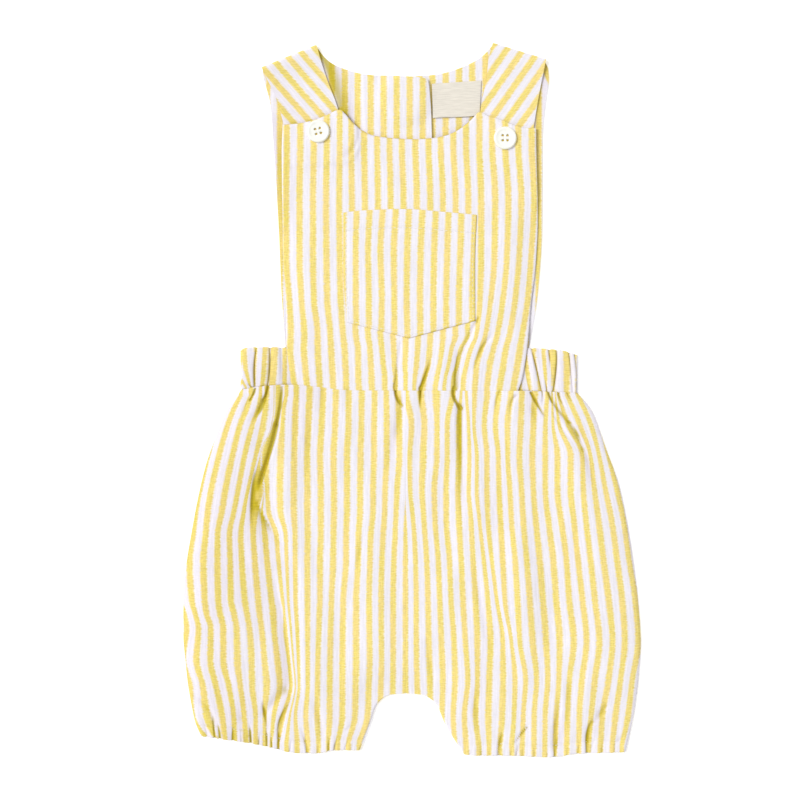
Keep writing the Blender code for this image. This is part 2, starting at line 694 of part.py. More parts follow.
def button(name, x, y, z, height, turn):
    """A four-hole button: a turned disc with a raised rim and a dished middle."""
    disc = bmesh.new()
    bmesh.ops.create_cone(disc, cap_ends=True, segments=BUTTON_SIDES, radius1=BUTTON_RADIUS * MM,
                          radius2=BUTTON_RADIUS * MM, depth=height * MM)
    disc.normal_update()
    top = max(disc.faces, key=lambda face: face.calc_center_median().z)
    rim = list(top.edges)
    bmesh.ops.inset_region(disc, faces=[top], thickness=BUTTON_RIM * MM)
    bmesh.ops.inset_region(disc, faces=[top], thickness=BUTTON_DISH * MM)
    bmesh.ops.translate(disc, verts=list(top.verts), vec=(0, 0, -BUTTON_DISH * MM))
    bmesh.ops.bevel(disc, geom=rim, offset=BUTTON_BEVEL * MM, segments=2, profile=0.5,
                    affect="EDGES", material=-1)
    bmesh.ops.rotate(disc, verts=list(disc.verts), cent=(0, 0, 0),
                     matrix=turn_about_z(turn))
    bmesh.ops.translate(disc, verts=list(disc.verts), vec=Vector((x, y, z + height / 2)) * MM)
    piece = finish(name, disc, BUTTON_CREAM)
    holes = piece.modifiers.new("holes", "BOOLEAN")
    holes.operation = "DIFFERENCE"
    holes.solver = "EXACT"
    holes.object = hole_cutter(name + "_cutter", x, y, z + height / 2, turn)
    return piece


def turn_about_z(degrees):
    return Matrix.Rotation(math.radians(degrees), 3, "Z")


def hole_cutter(name, x, y, z, turn):
    """Four upright pins, which cut the thread holes and are left out themselves."""
    pins = bmesh.new()
    reach = BUTTON_HOLE_SPACING / 2
    for side_x in (-reach, reach):
        for side_y in (-reach, reach):
            pin = bmesh.ops.create_cone(pins, cap_ends=True, segments=HOLE_SIDES,
                                        radius1=BUTTON_HOLE_RADIUS * MM,
                                        radius2=BUTTON_HOLE_RADIUS * MM, depth=8 * MM)
            bmesh.ops.translate(pins, verts=pin["verts"], vec=Vector((side_x, side_y, 0)) * MM)
    bmesh.ops.rotate(pins, verts=list(pins.verts), cent=(0, 0, 0),
                     matrix=turn_about_z(turn))
    bmesh.ops.translate(pins, verts=list(pins.verts), vec=Vector((x, y, z)) * MM)
    cutter = finish(name, pins, BUTTON_CREAM)
    cutter.hide_render = True
    cutter.display_type = "WIRE"
    return cutter


def build_buttons():
    steps = [BUTTON_RADIUS * share for share in (-1, -0.5, 0, 0.5, 1)]
    for name, x, y, turn in BUTTONS:
        seat = max(bib_top_side(x + step_x, y + step_y) for step_x in steps for step_y in steps)
        button(name, x, y, seat + SEAM_GAP, BUTTON_HEIGHT, turn)
    button("button_back", BACK_BUTTON[0], BACK_BUTTON[1], 0.0, BACK_BUTTON_HEIGHT, 0.0)


def label_under(x, y):
    return CLOTH + over_button(x, y) + LABEL_LIFT


def label_spot(across, up):
    left_x, left_y, right_x, right_y = along_table(LABEL_ENDS, up)
    return mix(left_x, right_x, across), mix(left_y, right_y, across)


def build_label():
    cloth_panel("neck_label", 5, 4, label_spot, label_under, LABEL_CREAM, LABEL_THICKNESS)


def main():
    clear_scene()
    build_back()
    build_waistband()
    build_shorts()
    build_bib()
    build_label()
    build_buttons()


main()
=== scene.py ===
"""Looks of the baby bubble overalls: striped linen and cotton cloth laid flat, with its creases,
turned edges, stitches and buttons, and a bare neck label.

Tables and sizes are in millimetres, and each point is scaled to metres as it is placed.
Left and right are the sides of someone who looks down at the garment, whose straps point to +Y.
"""

import math
from functools import partial

import bmesh
import bpy
import numpy as np
from mathutils import Matrix, Vector


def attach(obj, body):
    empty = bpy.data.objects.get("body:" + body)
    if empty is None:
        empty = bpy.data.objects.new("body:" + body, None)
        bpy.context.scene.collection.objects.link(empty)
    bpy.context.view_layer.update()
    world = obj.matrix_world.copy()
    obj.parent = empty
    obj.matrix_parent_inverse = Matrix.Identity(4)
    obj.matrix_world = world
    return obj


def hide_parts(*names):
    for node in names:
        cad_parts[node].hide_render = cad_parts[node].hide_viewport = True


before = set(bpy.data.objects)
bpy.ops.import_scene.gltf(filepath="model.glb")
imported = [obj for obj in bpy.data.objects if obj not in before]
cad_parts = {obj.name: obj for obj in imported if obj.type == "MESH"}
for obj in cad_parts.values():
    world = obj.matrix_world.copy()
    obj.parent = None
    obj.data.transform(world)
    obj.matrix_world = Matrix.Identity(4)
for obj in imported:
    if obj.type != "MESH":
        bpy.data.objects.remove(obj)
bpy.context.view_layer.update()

MM = 0.001

# ---- cloth ----

CLOTH = 1.2                 # room that one layer takes up
SHELL = 0.9                 # wall of a layer as it is sewn
SEAM_GAP = 0.3              # room between the layers
SEAM = -0.2                 # two sewn edges reach this far into each other
LAYER = CLOTH + SEAM_GAP
STRIPE = 8.2                # from one yellow stripe to the next
OFF_GROUND = 0.05
TURNED_EDGE = 1.6           # how far inside an edge the cloth starts to turn down
EDGE_ROWS = (0, 0.15, 0.45, 0.8)        # rows of a mesh in a turned edge, as shares of its width
EDGE_ROWS_END = 1.2
# Drop of a turned edge, and how far inside it starts
SEWN_TURN = (0.3, 0.9)
HEM_TURN = (0.7, 1.2)
BIB_RIGHT_TURN = (0.6, 1.2)
POCKET_TURN = (0.7, 1.3)
POCKET_TOP_TURN = (0.4, 1.2)
CASING_WAIST_TURN = (0.6, 1.2)
CASING_TOP_TURN = (0.7, 1.2)
LABEL_TURN = (0.35, 0.8)
RELIEF_SOFTNESS = 0.2       # how softly the cloth settles on what lies under it
SHORTS_SOFTNESS = 0.35

# ---- meshes: columns, rows, width and height of a grid, and its steps where the cloth is shaded ----

FRONT_GRID = (280, 160, 130, 225)
FRONT_STEPS = (0.5, 1.3)
BACK_GRID = (90, 100, 130, 225)
BIB_GRID = (300, 118, 160, 170)
BIB_STEPS = (0.55, 1.5)
POCKET_GRID = (140, 100, 84, 76)
POCKET_STEPS = (0.6, 0.8)
STRAP_GRID = (110, 168, 92, 250)
BAND_GRID = (480, 26, 290, 25)
BAND_STEPS = (0.6, 1.0)
LABEL_GRID = (64, 48, 29, 22)

# ---- waist ----

SEAM_X = -4.0               # centre seam of the shorts
BAND_LEFT = -108.7
BAND_RIGHT = 105.0
BAND_END_LEFT = -73.0
BAND_END_RIGHT = 66.0
BAND_END_SINK = 0.4
BAND_UNDER_BIB = 2          # sections at each end that the bib covers
BAND_RADIUS = (LAYER + 0.5) / 2
BAND_PLEAT = 8.6
BAND_FIRST_PLEAT = -104.0
BAND_WAVE = 0.35
BAND_PUFF = 1.5             # rise of the casing's middle between its pleats
BAND_EDGE_PUFF = 0.7
BAND_LOWEST = -0.5
BAND_NOTCH = 0.4            # share of a pleat's depth that it takes off the casing's top edge
BAND_CORNER = 2.6
BAND_EDGE_POWER = 6         # how close to that edge the notches and corners stay
BAND_FRONT_LEFT = 12        # sections of the casing: front left, each turn, back, front right
BAND_TURN = 4
BAND_BACK = 12
BAND_FRONT_RIGHT = 14
BAND_BACK_START = BAND_FRONT_LEFT + BAND_TURN
BAND_BACK_END = BAND_BACK_START + BAND_BACK
BAND_RIGHT_START = BAND_BACK_END + BAND_TURN
BAND_SECTIONS = BAND_RIGHT_START + BAND_FRONT_RIGHT
BAND_LEFT_TURN = BAND_LEFT + CLOTH / 2 + BAND_RADIUS
BAND_RIGHT_TURN = BAND_RIGHT - CLOTH / 2 - BAND_RADIUS
BAND_BACK_STRIPES = 33.6    # stripes gathered into the casing's back

WAIST_LINE = (              # x, y
    (-110, 7), (-79, 9.6), (-62, 8.6), (-40, 6.2), (0, 6), (67, 5.7), (106, 4.6),
)
BAND_TOP = (                # x, y
    (-110, 33.2), (0, 32.6), (72, 32.6), (92, 31.4), (106, 28),
)
CASING_STRIPES = (0, 1, 2, 3, 4, 5)
CASING_GRAIN_LEFT = (       # y, then the x of each of those stripes
    (8, -102, -99, -95, -88, -80.6, -74), (20, -105, -98.9, -93.8, -87, -80.4, -74),
    (32, -106.2, -98.3, -93.2, -86.6, -80.3, -74),
)
CASING_GRAIN_RIGHT = (
    (6, 73.4, 79.6, 84.6, 87.8, 96, 103.6), (18, 71.6, 78, 83, 87.8, 95.8, 103.6),
    (30, 70, 76, 81.9, 87.4, 95.6, 103),
)
CASING_SIDE_STRIPES = (-0.6, 5.0)       # count at the left side and at the right one

# ---- placket and back button ----

PLACKET_UNDER_EDGE = -21.0
PLACKET_RISE_START = 16.0
PLACKET_SLOPE = 8.0
PLACKET_RISE = LAYER + 0.4
BACK_BUTTON = (-4.4, 190.9)
BACK_BUTTON_CLEAR = 2.4
BACK_BUTTON_DOME = 9.4
BACK_BUTTON_SLOPE = 11.0
UPPER_HALF_WIDER = 1.5      # the upper half of the placket needs this much more room round it

# ---- bib ----

BIB_LOWEST = PLACKET_RISE + LAYER
BIB_REST = BIB_LOWEST + 0.2
BIB_LOW = 6.0
BIB_HIGH = 176.0
BIB_EDGE_SOFTNESS = 16.0
BIB_RELIEF_BASE = 0.3
BIB_EDGE_RELIEF = 0.25      # share of the relief that its edges have
BIB_SAG = 0.1
BIB_LEFT_DROP = 0.9
BIB_CORNER_DROP = 0.9
NECK_DROP = 1.6
NECK_TURN = 1.8
NECK_SPAN = (-46.0, 46.0, 8.0)          # left, right and softness of the part between the straps
BIB_SIDE_SHADE = 0.3
NECK_SHADE = 0.4
BIB_ROW_GRADING = 1.25
BIB_SIDES = (               # share of its height, left edge, right edge
    (0, -76.5, 67), (0.05, -77.4, 69.6), (0.16, -79.4, 72.6), (0.33, -80, 75.2), (0.5, -81.5, 78.4),
    (0.65, -81.9, 79.5), (0.9, -82.3, 78.5), (1, -81.7, 78.3),
)
BIB_TOP = (                 # x, y
    (-82, 173.8), (-72, 174.6), (-62.6, 176.5), (-54, 179.8), (-45.6, 183.2), (-42.6, 181),
    (-37.3, 175.1), (-31.9, 170.6), (-23.8, 167), (-9, 165.2), (2, 164.8), (12.6, 165.5), (20.6, 166.9),
    (27.8, 169.8), (36.7, 176.5), (43, 182), (48.6, 179.3), (56.6, 177), (65.7, 173.4), (73.8, 171.8),
    (79, 171.9),
)
BIB_COLUMNS = (             # share of the columns, share of the width
    (0, 0), (6 / 26, 0.227), (20 / 26, 0.779), (1, 1),
)
BIB_EDGE_LIFT = (           # y, z
    (0, 3.2), (38, 3.2), (52, 1.6), (112, 1.6), (134, 3.2), (190, 3.2),
)
# End of the left strap, felt through the bib: middle x, y, half width, half height, corner, turn
STRAP_END = (-60.0, 174.0, 25.5, 25.5, 11.0, 0.10)
STRAP_END_RISE = 0.85
STRAP_END_SLOPE = 2.8
STRAP_END_FADE = (-80.0, -52.0)
STRAP_END_FAINTEST = 0.35

BIB_STRIPES = (0, 2, 4, 5, 7, 9, 11, 12, 14, 15, 16, 18, 19)
BIB_GRAIN = (               # y, then the x of each of those stripes
    (8, -74, -58, -41.5, -33.5, -17, -4, 6.5, 15, 25.5, 32, 39.5, 55, 64),
    (14, -75, -58.5, -41.5, -34, -17, -4, 7.5, 16, 26, 32.5, 40, 56, 65),
    (22, -76, -59, -42, -34, -18, -4.5, 10, 17.5, 28.4, 34.2, 40.5, 57.5, 66.5),
    (32, -77, -59.5, -42.5, -34, -19, -4, 11, 19, 30.6, 37, 43.5, 59, 68),
    (41, -76.5, -59.5, -43.5, -35.5, -20, -4, 11.5, 19.5, 35.2, 40.6, 46, 61.5, 69.5),
    (63, -77.5, -62, -45, -36.5, -21, -4.5, 11.5, 19.5, 35, 43, 49.5, 65, 73),
    (88, -79.5, -62.5, -45.5, -37.5, -21.5, -5.5, 11.5, 19.5, 35.5, 43.5, 52, 67.5, 75),
    (126, -79.5, -62.5, -46, -38, -21.5, -5.5, 11.5, 19.5, 35.5, 43.5, 52.5, 69, 77),
    (158, -79, -62, -45.5, -38.5, -22, -6.5, 10.5, 18, 34, 42.5, 50.5, 67, 75.5),
)

# ---- pocket ----

POCKET_TOP = ((-43.5, 118.2), (-31, 119.6), (-5, 120.5), (18, 118.9), (41, 116.8))
POCKET_BOTTOM = ((-42, 49.2), (-1.9, 38.8), (40.2, 49.9))
POCKET_SIDES = ((0, -41.2, 40), (0.5, -43.4, 39.8), (1, -43.3, 40.9))
POCKET_SIZE = (84.0, 68.0, 74.0)        # width, height of its sides and height of its middle
POCKET_LIFT = 0.15
POCKET_WALL = 0.7
POCKET_HEM = 11.8           # from its top edge down to the hem's stitches
POCKET_HEM_RISE = 0.15
POCKET_HEM_SLOPE = 1.5
POCKET_STITCH_INSET = 1.6
POCKET_STITCH_DIP = 0.22
POCKET_STITCH_WIDTH = 0.6
POCKET_HEM_STITCH_WIDTH = 0.7
POCKET_HOLLOWS = 0.4
POCKET_SIDE_SHADE = 0.5
POCKET_SHADE_START = -30.0  # the shade of its lower edge grows to the right from here
POCKET_SHADE_GROWTH = 40.0
POCKET_GRAIN_SHIFT = 0.4
POCKET_STRIPES = (0, 1, 3, 5, 7, 9, 10)
POCKET_GRAIN = (            # y, then the x of each of those stripes
    (44, -43.5, -35, -19.5, -3, 13.5, 29.5, 38), (63, -43.5, -35.5, -19, -3.5, 13.5, 29.5, 38),
    (95, -43.5, -35.5, -20, -3, 14, 30.5, 39), (119, -43, -35, -18.5, -2, 15, 31, 40),
)

# ---- back halves with their straps: section, outer edge x, y, inner edge x, y ----

BACK_FOLD = 16
BACK_LEFT = (
    (0, -80.2, 32.5, 12.2, 32.5), (2, -82.6, 68, 12.4, 78), (4, -84.2, 106, 12.6, 124),
    (6, -86.2, 140, 12.6, 162), (7, -87, 152, 12.3, 176), (8, -87.8, 163, 11.4, 190),
    (9, -88.4, 172, 9.6, 202.6), (10, -88.8, 178, -2, 204.1), (12, -90, 188.8, -26, 205.4),
    (14, -92.8, 199.4, -48, 211.5), (15, -94.2, 204.4, -55.2, 216.6), (16, -94.4, 208.6, -59.8, 222.8),
)
BACK_RIGHT = (
    (0, 74.2, 32.5, -21, 32.5), (2, 79.8, 70, -21, 78), (4, 82.4, 110, -21, 124),
    (6, 82.6, 142, -21, 162), (7, 82.6, 153, -21, 176), (8, 82.6, 164, -21, 190),
    (9, 83, 173, -20.6, 203.4), (10, 83.6, 180, -8, 204), (12, 85.2, 192.5, 16, 206),
    (14, 86.6, 203.4, 38, 213.4), (15, 86.2, 209.2, 45.4, 218.4), (16, 84.4, 213.6, 50.6, 224),
)
STRAP_LEFT = (
    (0, -94.4, 208.6, -59.8, 222.8), (1, -92.4, 204.2, -58.2, 216.6), (3, -86.6, 192.6, -54, 203.4),
    (5, -81.6, 176, -46.6, 183), (7, -75, 149.6, -42, 158),
)
STRAP_RIGHT = (
    (0, 84.4, 213.6, 50.6, 224), (1, 83.4, 208.6, 48.6, 217), (3, 80.8, 195.6, 47, 202.4),
    (5, 77.6, 177, 43.2, 182.6), (7, 73, 147.6, 42, 155),
)
STRAP_SECTIONS = 7
FOLD_RADIUS = 1.5
FOLD_STEPS = 5
STRAP_SETTLE = 2.5          # sections in which a strap comes down from its fold
GRAIN_TURN = (3.0, 0.8)     # sections in which the stripes turn at the fold: outer edge, inner edge
# Stripes of a back half and of its strap: first stripe's x, spacing, then the strap's slant,
# start and spacing along x, and whole stripes between the two counts
GRAIN_BACK_LEFT = (-42.5, 8.2, 0.875, 100.3, 10.87, -5)
GRAIN_BACK_RIGHT = (21.3, 8.4, -0.7, -74.3, 10.4, 7)

# ---- shorts: section, outer edge x, y, inner edge x, y, share of the hem's drop ----

SHORTS_SECTIONS = 20
ROWS_TO_ENDS = 0.4            # how much closer the rows of its mesh lie at the waist and the hem
CROTCH_SECTION = 16
CROTCH_END = 0.5
WAIST_SECTIONS = 5
SHORTS_LEFT = (
    (0, -107.3, 6.8, -4, 6, 0), (2, -115.4, -4, -4, -9, 0), (4, -124, -23, -4, -30, 0),
    (6, -131.2, -44, -4, -53, 0), (9, -138.8, -80, -4, -92, 0.1), (12, -144.2, -118, -4, -132, 0.2),
    (14, -144.8, -145, -4, -160, 0.35), (16, -143, -169, -4, -185.2, 0.5),
    (17, -141.6, -181, -13.8, -186.4, 0.6), (18, -139.6, -192.5, -21.8, -192.2, 0.7),
    (19, -137.4, -203, -26.2, -204, 0.85), (20, -133.6, -212.6, -32.9, -221.4, 1),
)
SHORTS_RIGHT = (
    (0, 104.4, 4.8, -4, 6, 0), (2, 113.4, -6, -4, -9, 0), (4, 123.2, -32, -4, -30, 0),
    (6, 131.4, -55, -4, -53, 0), (9, 138.6, -92, -4, -92, 0.1), (12, 143.4, -130, -4, -132, 0.2),
    (14, 144.8, -154, -4, -160, 0.35), (16, 143.4, -176, -4, -185.2, 0.5),
    (17, 142, -188, 5.8, -186.4, 0.6), (18, 140.2, -200, 14.4, -191.4, 0.7),
    (19, 137.8, -211.5, 21.4, -206, 0.85), (20, 135.2, -222.6, 32.7, -224, 1),
)
HEM_DROP_LEFT = ((0, 0), (0.3, 1.4), (0.6, 5.2), (0.72, 4.4), (0.85, 1.4), (1, 0))
HEM_DROP_RIGHT = ((0, 0), (0.3, 0.6), (0.45, 2.6), (0.7, 1.4), (0.92, 0.8), (1, 0))

PUFF = (                    # y, rise of the front off the back
    (-225, 0.6), (-205, 2.2), (-170, 3.4), (-110, 3.6), (-50, 3.2), (-15, 2.6), (6, 1.4), (20, 1.2),
    (50, 0.6), (80, 0.3), (185, 0.3),
)
SIDE_ROUNDING = 9.0
SIDE_HEIGHT = 1.0           # of the front's outer edges, off the ground
SIDE_TURN = 2.6
SEAM_DROP = 0.15
BACK_INSET = 1.2
WAIST_LIFT = 1.2
BIB_WAIST_LIFT = 1.7
BIB_OVER_WAIST = (-84.0, 76.0, 12.0)    # left, right and softness of the part that has that lift
WAIST_LIFT_REACH = 30.0
CROTCH_ARCH_Y = -200.0
CROTCH_FLAT = 14.0
CROTCH_SLOPE = 34.0
HEM_CASING = 7.6            # from the hem up to the stitches that hold its elastic
HEM_CASING_RISE = 0.35
HEM_STITCH_REACH = 0.9
HEM_GATHER = 10.6
HEM_GATHER_SWAY = 0.35
HEM_GATHER_SWAY_LENGTH = 19.0
HEM_GATHER_RISE = 0.8
HEM_GATHER_REACH = 13.0

# Much of stripes 5 and 6 goes into the deep pleat
LEFT_STRIPES = (0, 1, 2, 3, 4, 4.5, 5, 5.2, 6.7, 7.3, 8, 9, 11, 13, 15, 17, 18)
LEFT_GRAIN = (              # distance below y = 0, then the x of each of those stripes
    (-3, -114, -108.3, -101.5, -95.2, -92.4, -87.4, -87.2, -87, -86.6, -82.4, -79.5, -73.3, -56, -40,
     -23.5, -9, 0),
    (6, -119.5, -112.9, -104.5, -96.9, -93.4, -87.6, -87.4, -87.2, -86.7, -83.5, -81.5, -73.6, -56.5, -40,
     -23.7, -8.5, 0),
    (16, -124, -116.5, -108.5, -100.5, -94.5, -89, -88.8, -88.7, -88.4, -85.2, -82, -73.8, -57, -40, -24,
     -8, 0),
    (35, -129, -122, -113, -105.5, -98.3, -96, -95.8, -95.7, -95.4, -89.5, -82.5, -74.3, -58, -41, -24,
     -8, 0),
    (57, -134, -127, -117.5, -109.5, -103.2, -101.5, -99.9, -93.6, -93.2, -89.6, -83.2, -74.5, -57.5, -41,
     -24.5, -9.5, -1.5),
    (70, -136.5, -129, -119.5, -112, -105.8, -103.4, -101, -97, -92.5, -88.6, -83, -74.5, -57.5, -41,
     -24.5, -10, -3),
    (85, -138.5, -130, -122.5, -115, -108, -104, -100, -98.6, -87.6, -83.6, -79.5, -74, -57.5, -41.5, -26,
     -10.5, -4),
    (101, -140.5, -131.5, -122.5, -114.5, -107.5, -103.2, -99, -97.5, -86, -82.5, -79, -74, -58, -41.5,
     -26.5, -11.5, -4),
    (126, -139, -130.7, -122, -114.2, -105.3, -101.2, -97, -95.3, -83, -80.2, -78.2, -73.8, -58, -43.5,
     -27, -12, -4),
    (134, -137, -129.8, -121, -112.3, -104, -100.2, -96.2, -94.7, -81.5, -79.6, -77.5, -73.4, -58.4,
     -43.6, -26.9, -12, -4),
    (144, -134.6, -126.8, -119, -110.4, -102.4, -98.6, -94.9, -93.3, -81.6, -78.3, -76.6, -72.8, -58.8,
     -43.8, -26.8, -12, -4),
    (164, -136, -127, -119, -110, -101, -97, -93, -91.4, -79.3, -76.4, -75, -72, -59.5, -44, -26.5, -12,
     -4),
    (180, -132, -123.6, -115.4, -108.2, -101, -96.4, -91.6, -89.8, -78, -74.9, -73.6, -71.7, -59.8, -44,
     -27.2, -12.2, -4.2),
    (199, -129.5, -119.5, -112.5, -106, -98.5, -95.8, -93, -92, -83, -79.4, -77, -74, -60, -44, -28,
     -12.5, -4.5),
    (216, -123, -117.5, -112, -104.5, -98.5, -95.8, -93, -92.2, -86, -83, -79.5, -72.5, -59, -47, -33.5,
     -18.5, -10.5),
)
RIGHT_STRIPES = (18, 19, 21, 22, 23, 24, 25, 26, 27, 28, 29, 31, 32, 33, 34, 35, 36, 37)
RIGHT_GRAIN = (             # distance below y = 0, then the x of each of those stripes
    (-3, -12, -4, 15, 26.5, 31, 34, 39, 47.5, 54.5, 62.5, 69, 86, 88.5, 90.5, 91.5, 98, 105, 111),
    (16, -7.5, -0.5, 16, 22, 29.5, 36, 38.5, 45.5, 52.5, 60, 68.5, 84.5, 89, 92.5, 98.5, 106, 113, 120),
    (35, -6, -2, 16, 22, 29.5, 36.5, 40.5, 47, 54.5, 60, 67.5, 84, 91.5, 100, 107.5, 112.5, 118, 124),
    (57, -6, -1.5, 14, 21.5, 29, 36, 40.5, 47, 55, 61.5, 69, 84, 91.5, 100, 108, 115, 122, 129.5),
    (76, -4.6, 0.5, 14.5, 21.5, 29.5, 37.5, 42.5, 47.5, 56, 62.5, 70, 86, 94, 102, 109.5, 117.5, 126,
     133.5),
    (101, -4, 2, 16.5, 23.5, 31, 38.5, 45.5, 50, 57, 65, 72, 89, 97.5, 104.5, 112.5, 120.5, 129.5, 137),
    (126, -4, 2.5, 17.5, 24.5, 32, 40, 48, 53.5, 58, 66.5, 74, 91, 99, 107.5, 115, 124, 132.5, 141),
    (152, -4, 2.5, 18.5, 26.5, 33.5, 41, 49.5, 57.5, 62.5, 67.5, 76, 93, 102, 110, 118, 126.5, 134, 143),
    (177, -4, 3, 19.5, 27, 35.5, 41, 48.5, 57.5, 65, 71.5, 78.5, 92.5, 99, 107, 115, 124, 131.5, 139),
    (199, -4, 5, 19, 26, 33, 40, 48, 57, 64.5, 70, 77, 91, 98, 105.5, 113, 120, 128.5, 136.5),
    (218, -1, 7.5, 21, 27, 34, 42.5, 48.5, 55.5, 63, 69.5, 77, 90.5, 97.5, 105.5, 111, 119, 126.5, 132.5),
)

# ---- creases of the front: start x, y, middle x, y, end x, y, half width to the left and to the
# right, rise at the start, middle and end (a trough is negative). Each runs downwards. ----

WIDE_FOLDS = (
    (-76, -10, -80, -50, -80, -96, 6, 9, 0.6, 1.6, 1.2),
    (-110, -16, -132, -90, -134, -170, 10, 26, 1, 2.2, 1.6),
    (2, 34, -1, 6, -4, -60, 5, 5, 0.5, 1, 0.8),
    (47, 54, 38, 10, 43, -70, 6.5, 6.5, 0.5, 1.2, 1),
    (22, 40, 18, 8, 20, -30, 5, 5, 0.5, 0.9, 0.5),
    (98, -22, 112, -70, 120, -130, 10, 10, 0.8, 1.4, 0.8),
    (62, 0, 64, -30, 70, -120, 9, 9, 0.8, 1.5, 1),
    (-46, 4, -48, -30, -50, -80, 9, 9, 0.6, 1, 0.5),
    (-77, -84, -66, -130, -66, -186, 4, 9, 0.6, 1.2, 0.8),
    (-106, -120, -108, -150, -112, -196, 10, 10, 0.8, 1.5, 0.8),
    (-30, -60, -26, -110, -28, -170, 11, 11, 0.6, 1.4, 0.8),
    (19, -50, 20, -76, 21, -104, 8, 8, -0.8, -1.4, -0.8),
    (64, -92, 68, -130, 70, -176, 8, 10, 0.8, 1.4, 0.8),
    (84, -70, 88, -110, 88, -150, 9, 9, -0.8, -1.3, -0.8),
    (112, -165, 110, -185, 106, -205, 6, 6, 0.6, 1.2, 0.6),
    (-96, -30, -92, -56, -88, -76, 5, 6, -0.8, -1.2, -0.8),
    (-74, 30, -76, 90, -76, 150, 5, 4, 0.1, 0.2, 0.1),
)

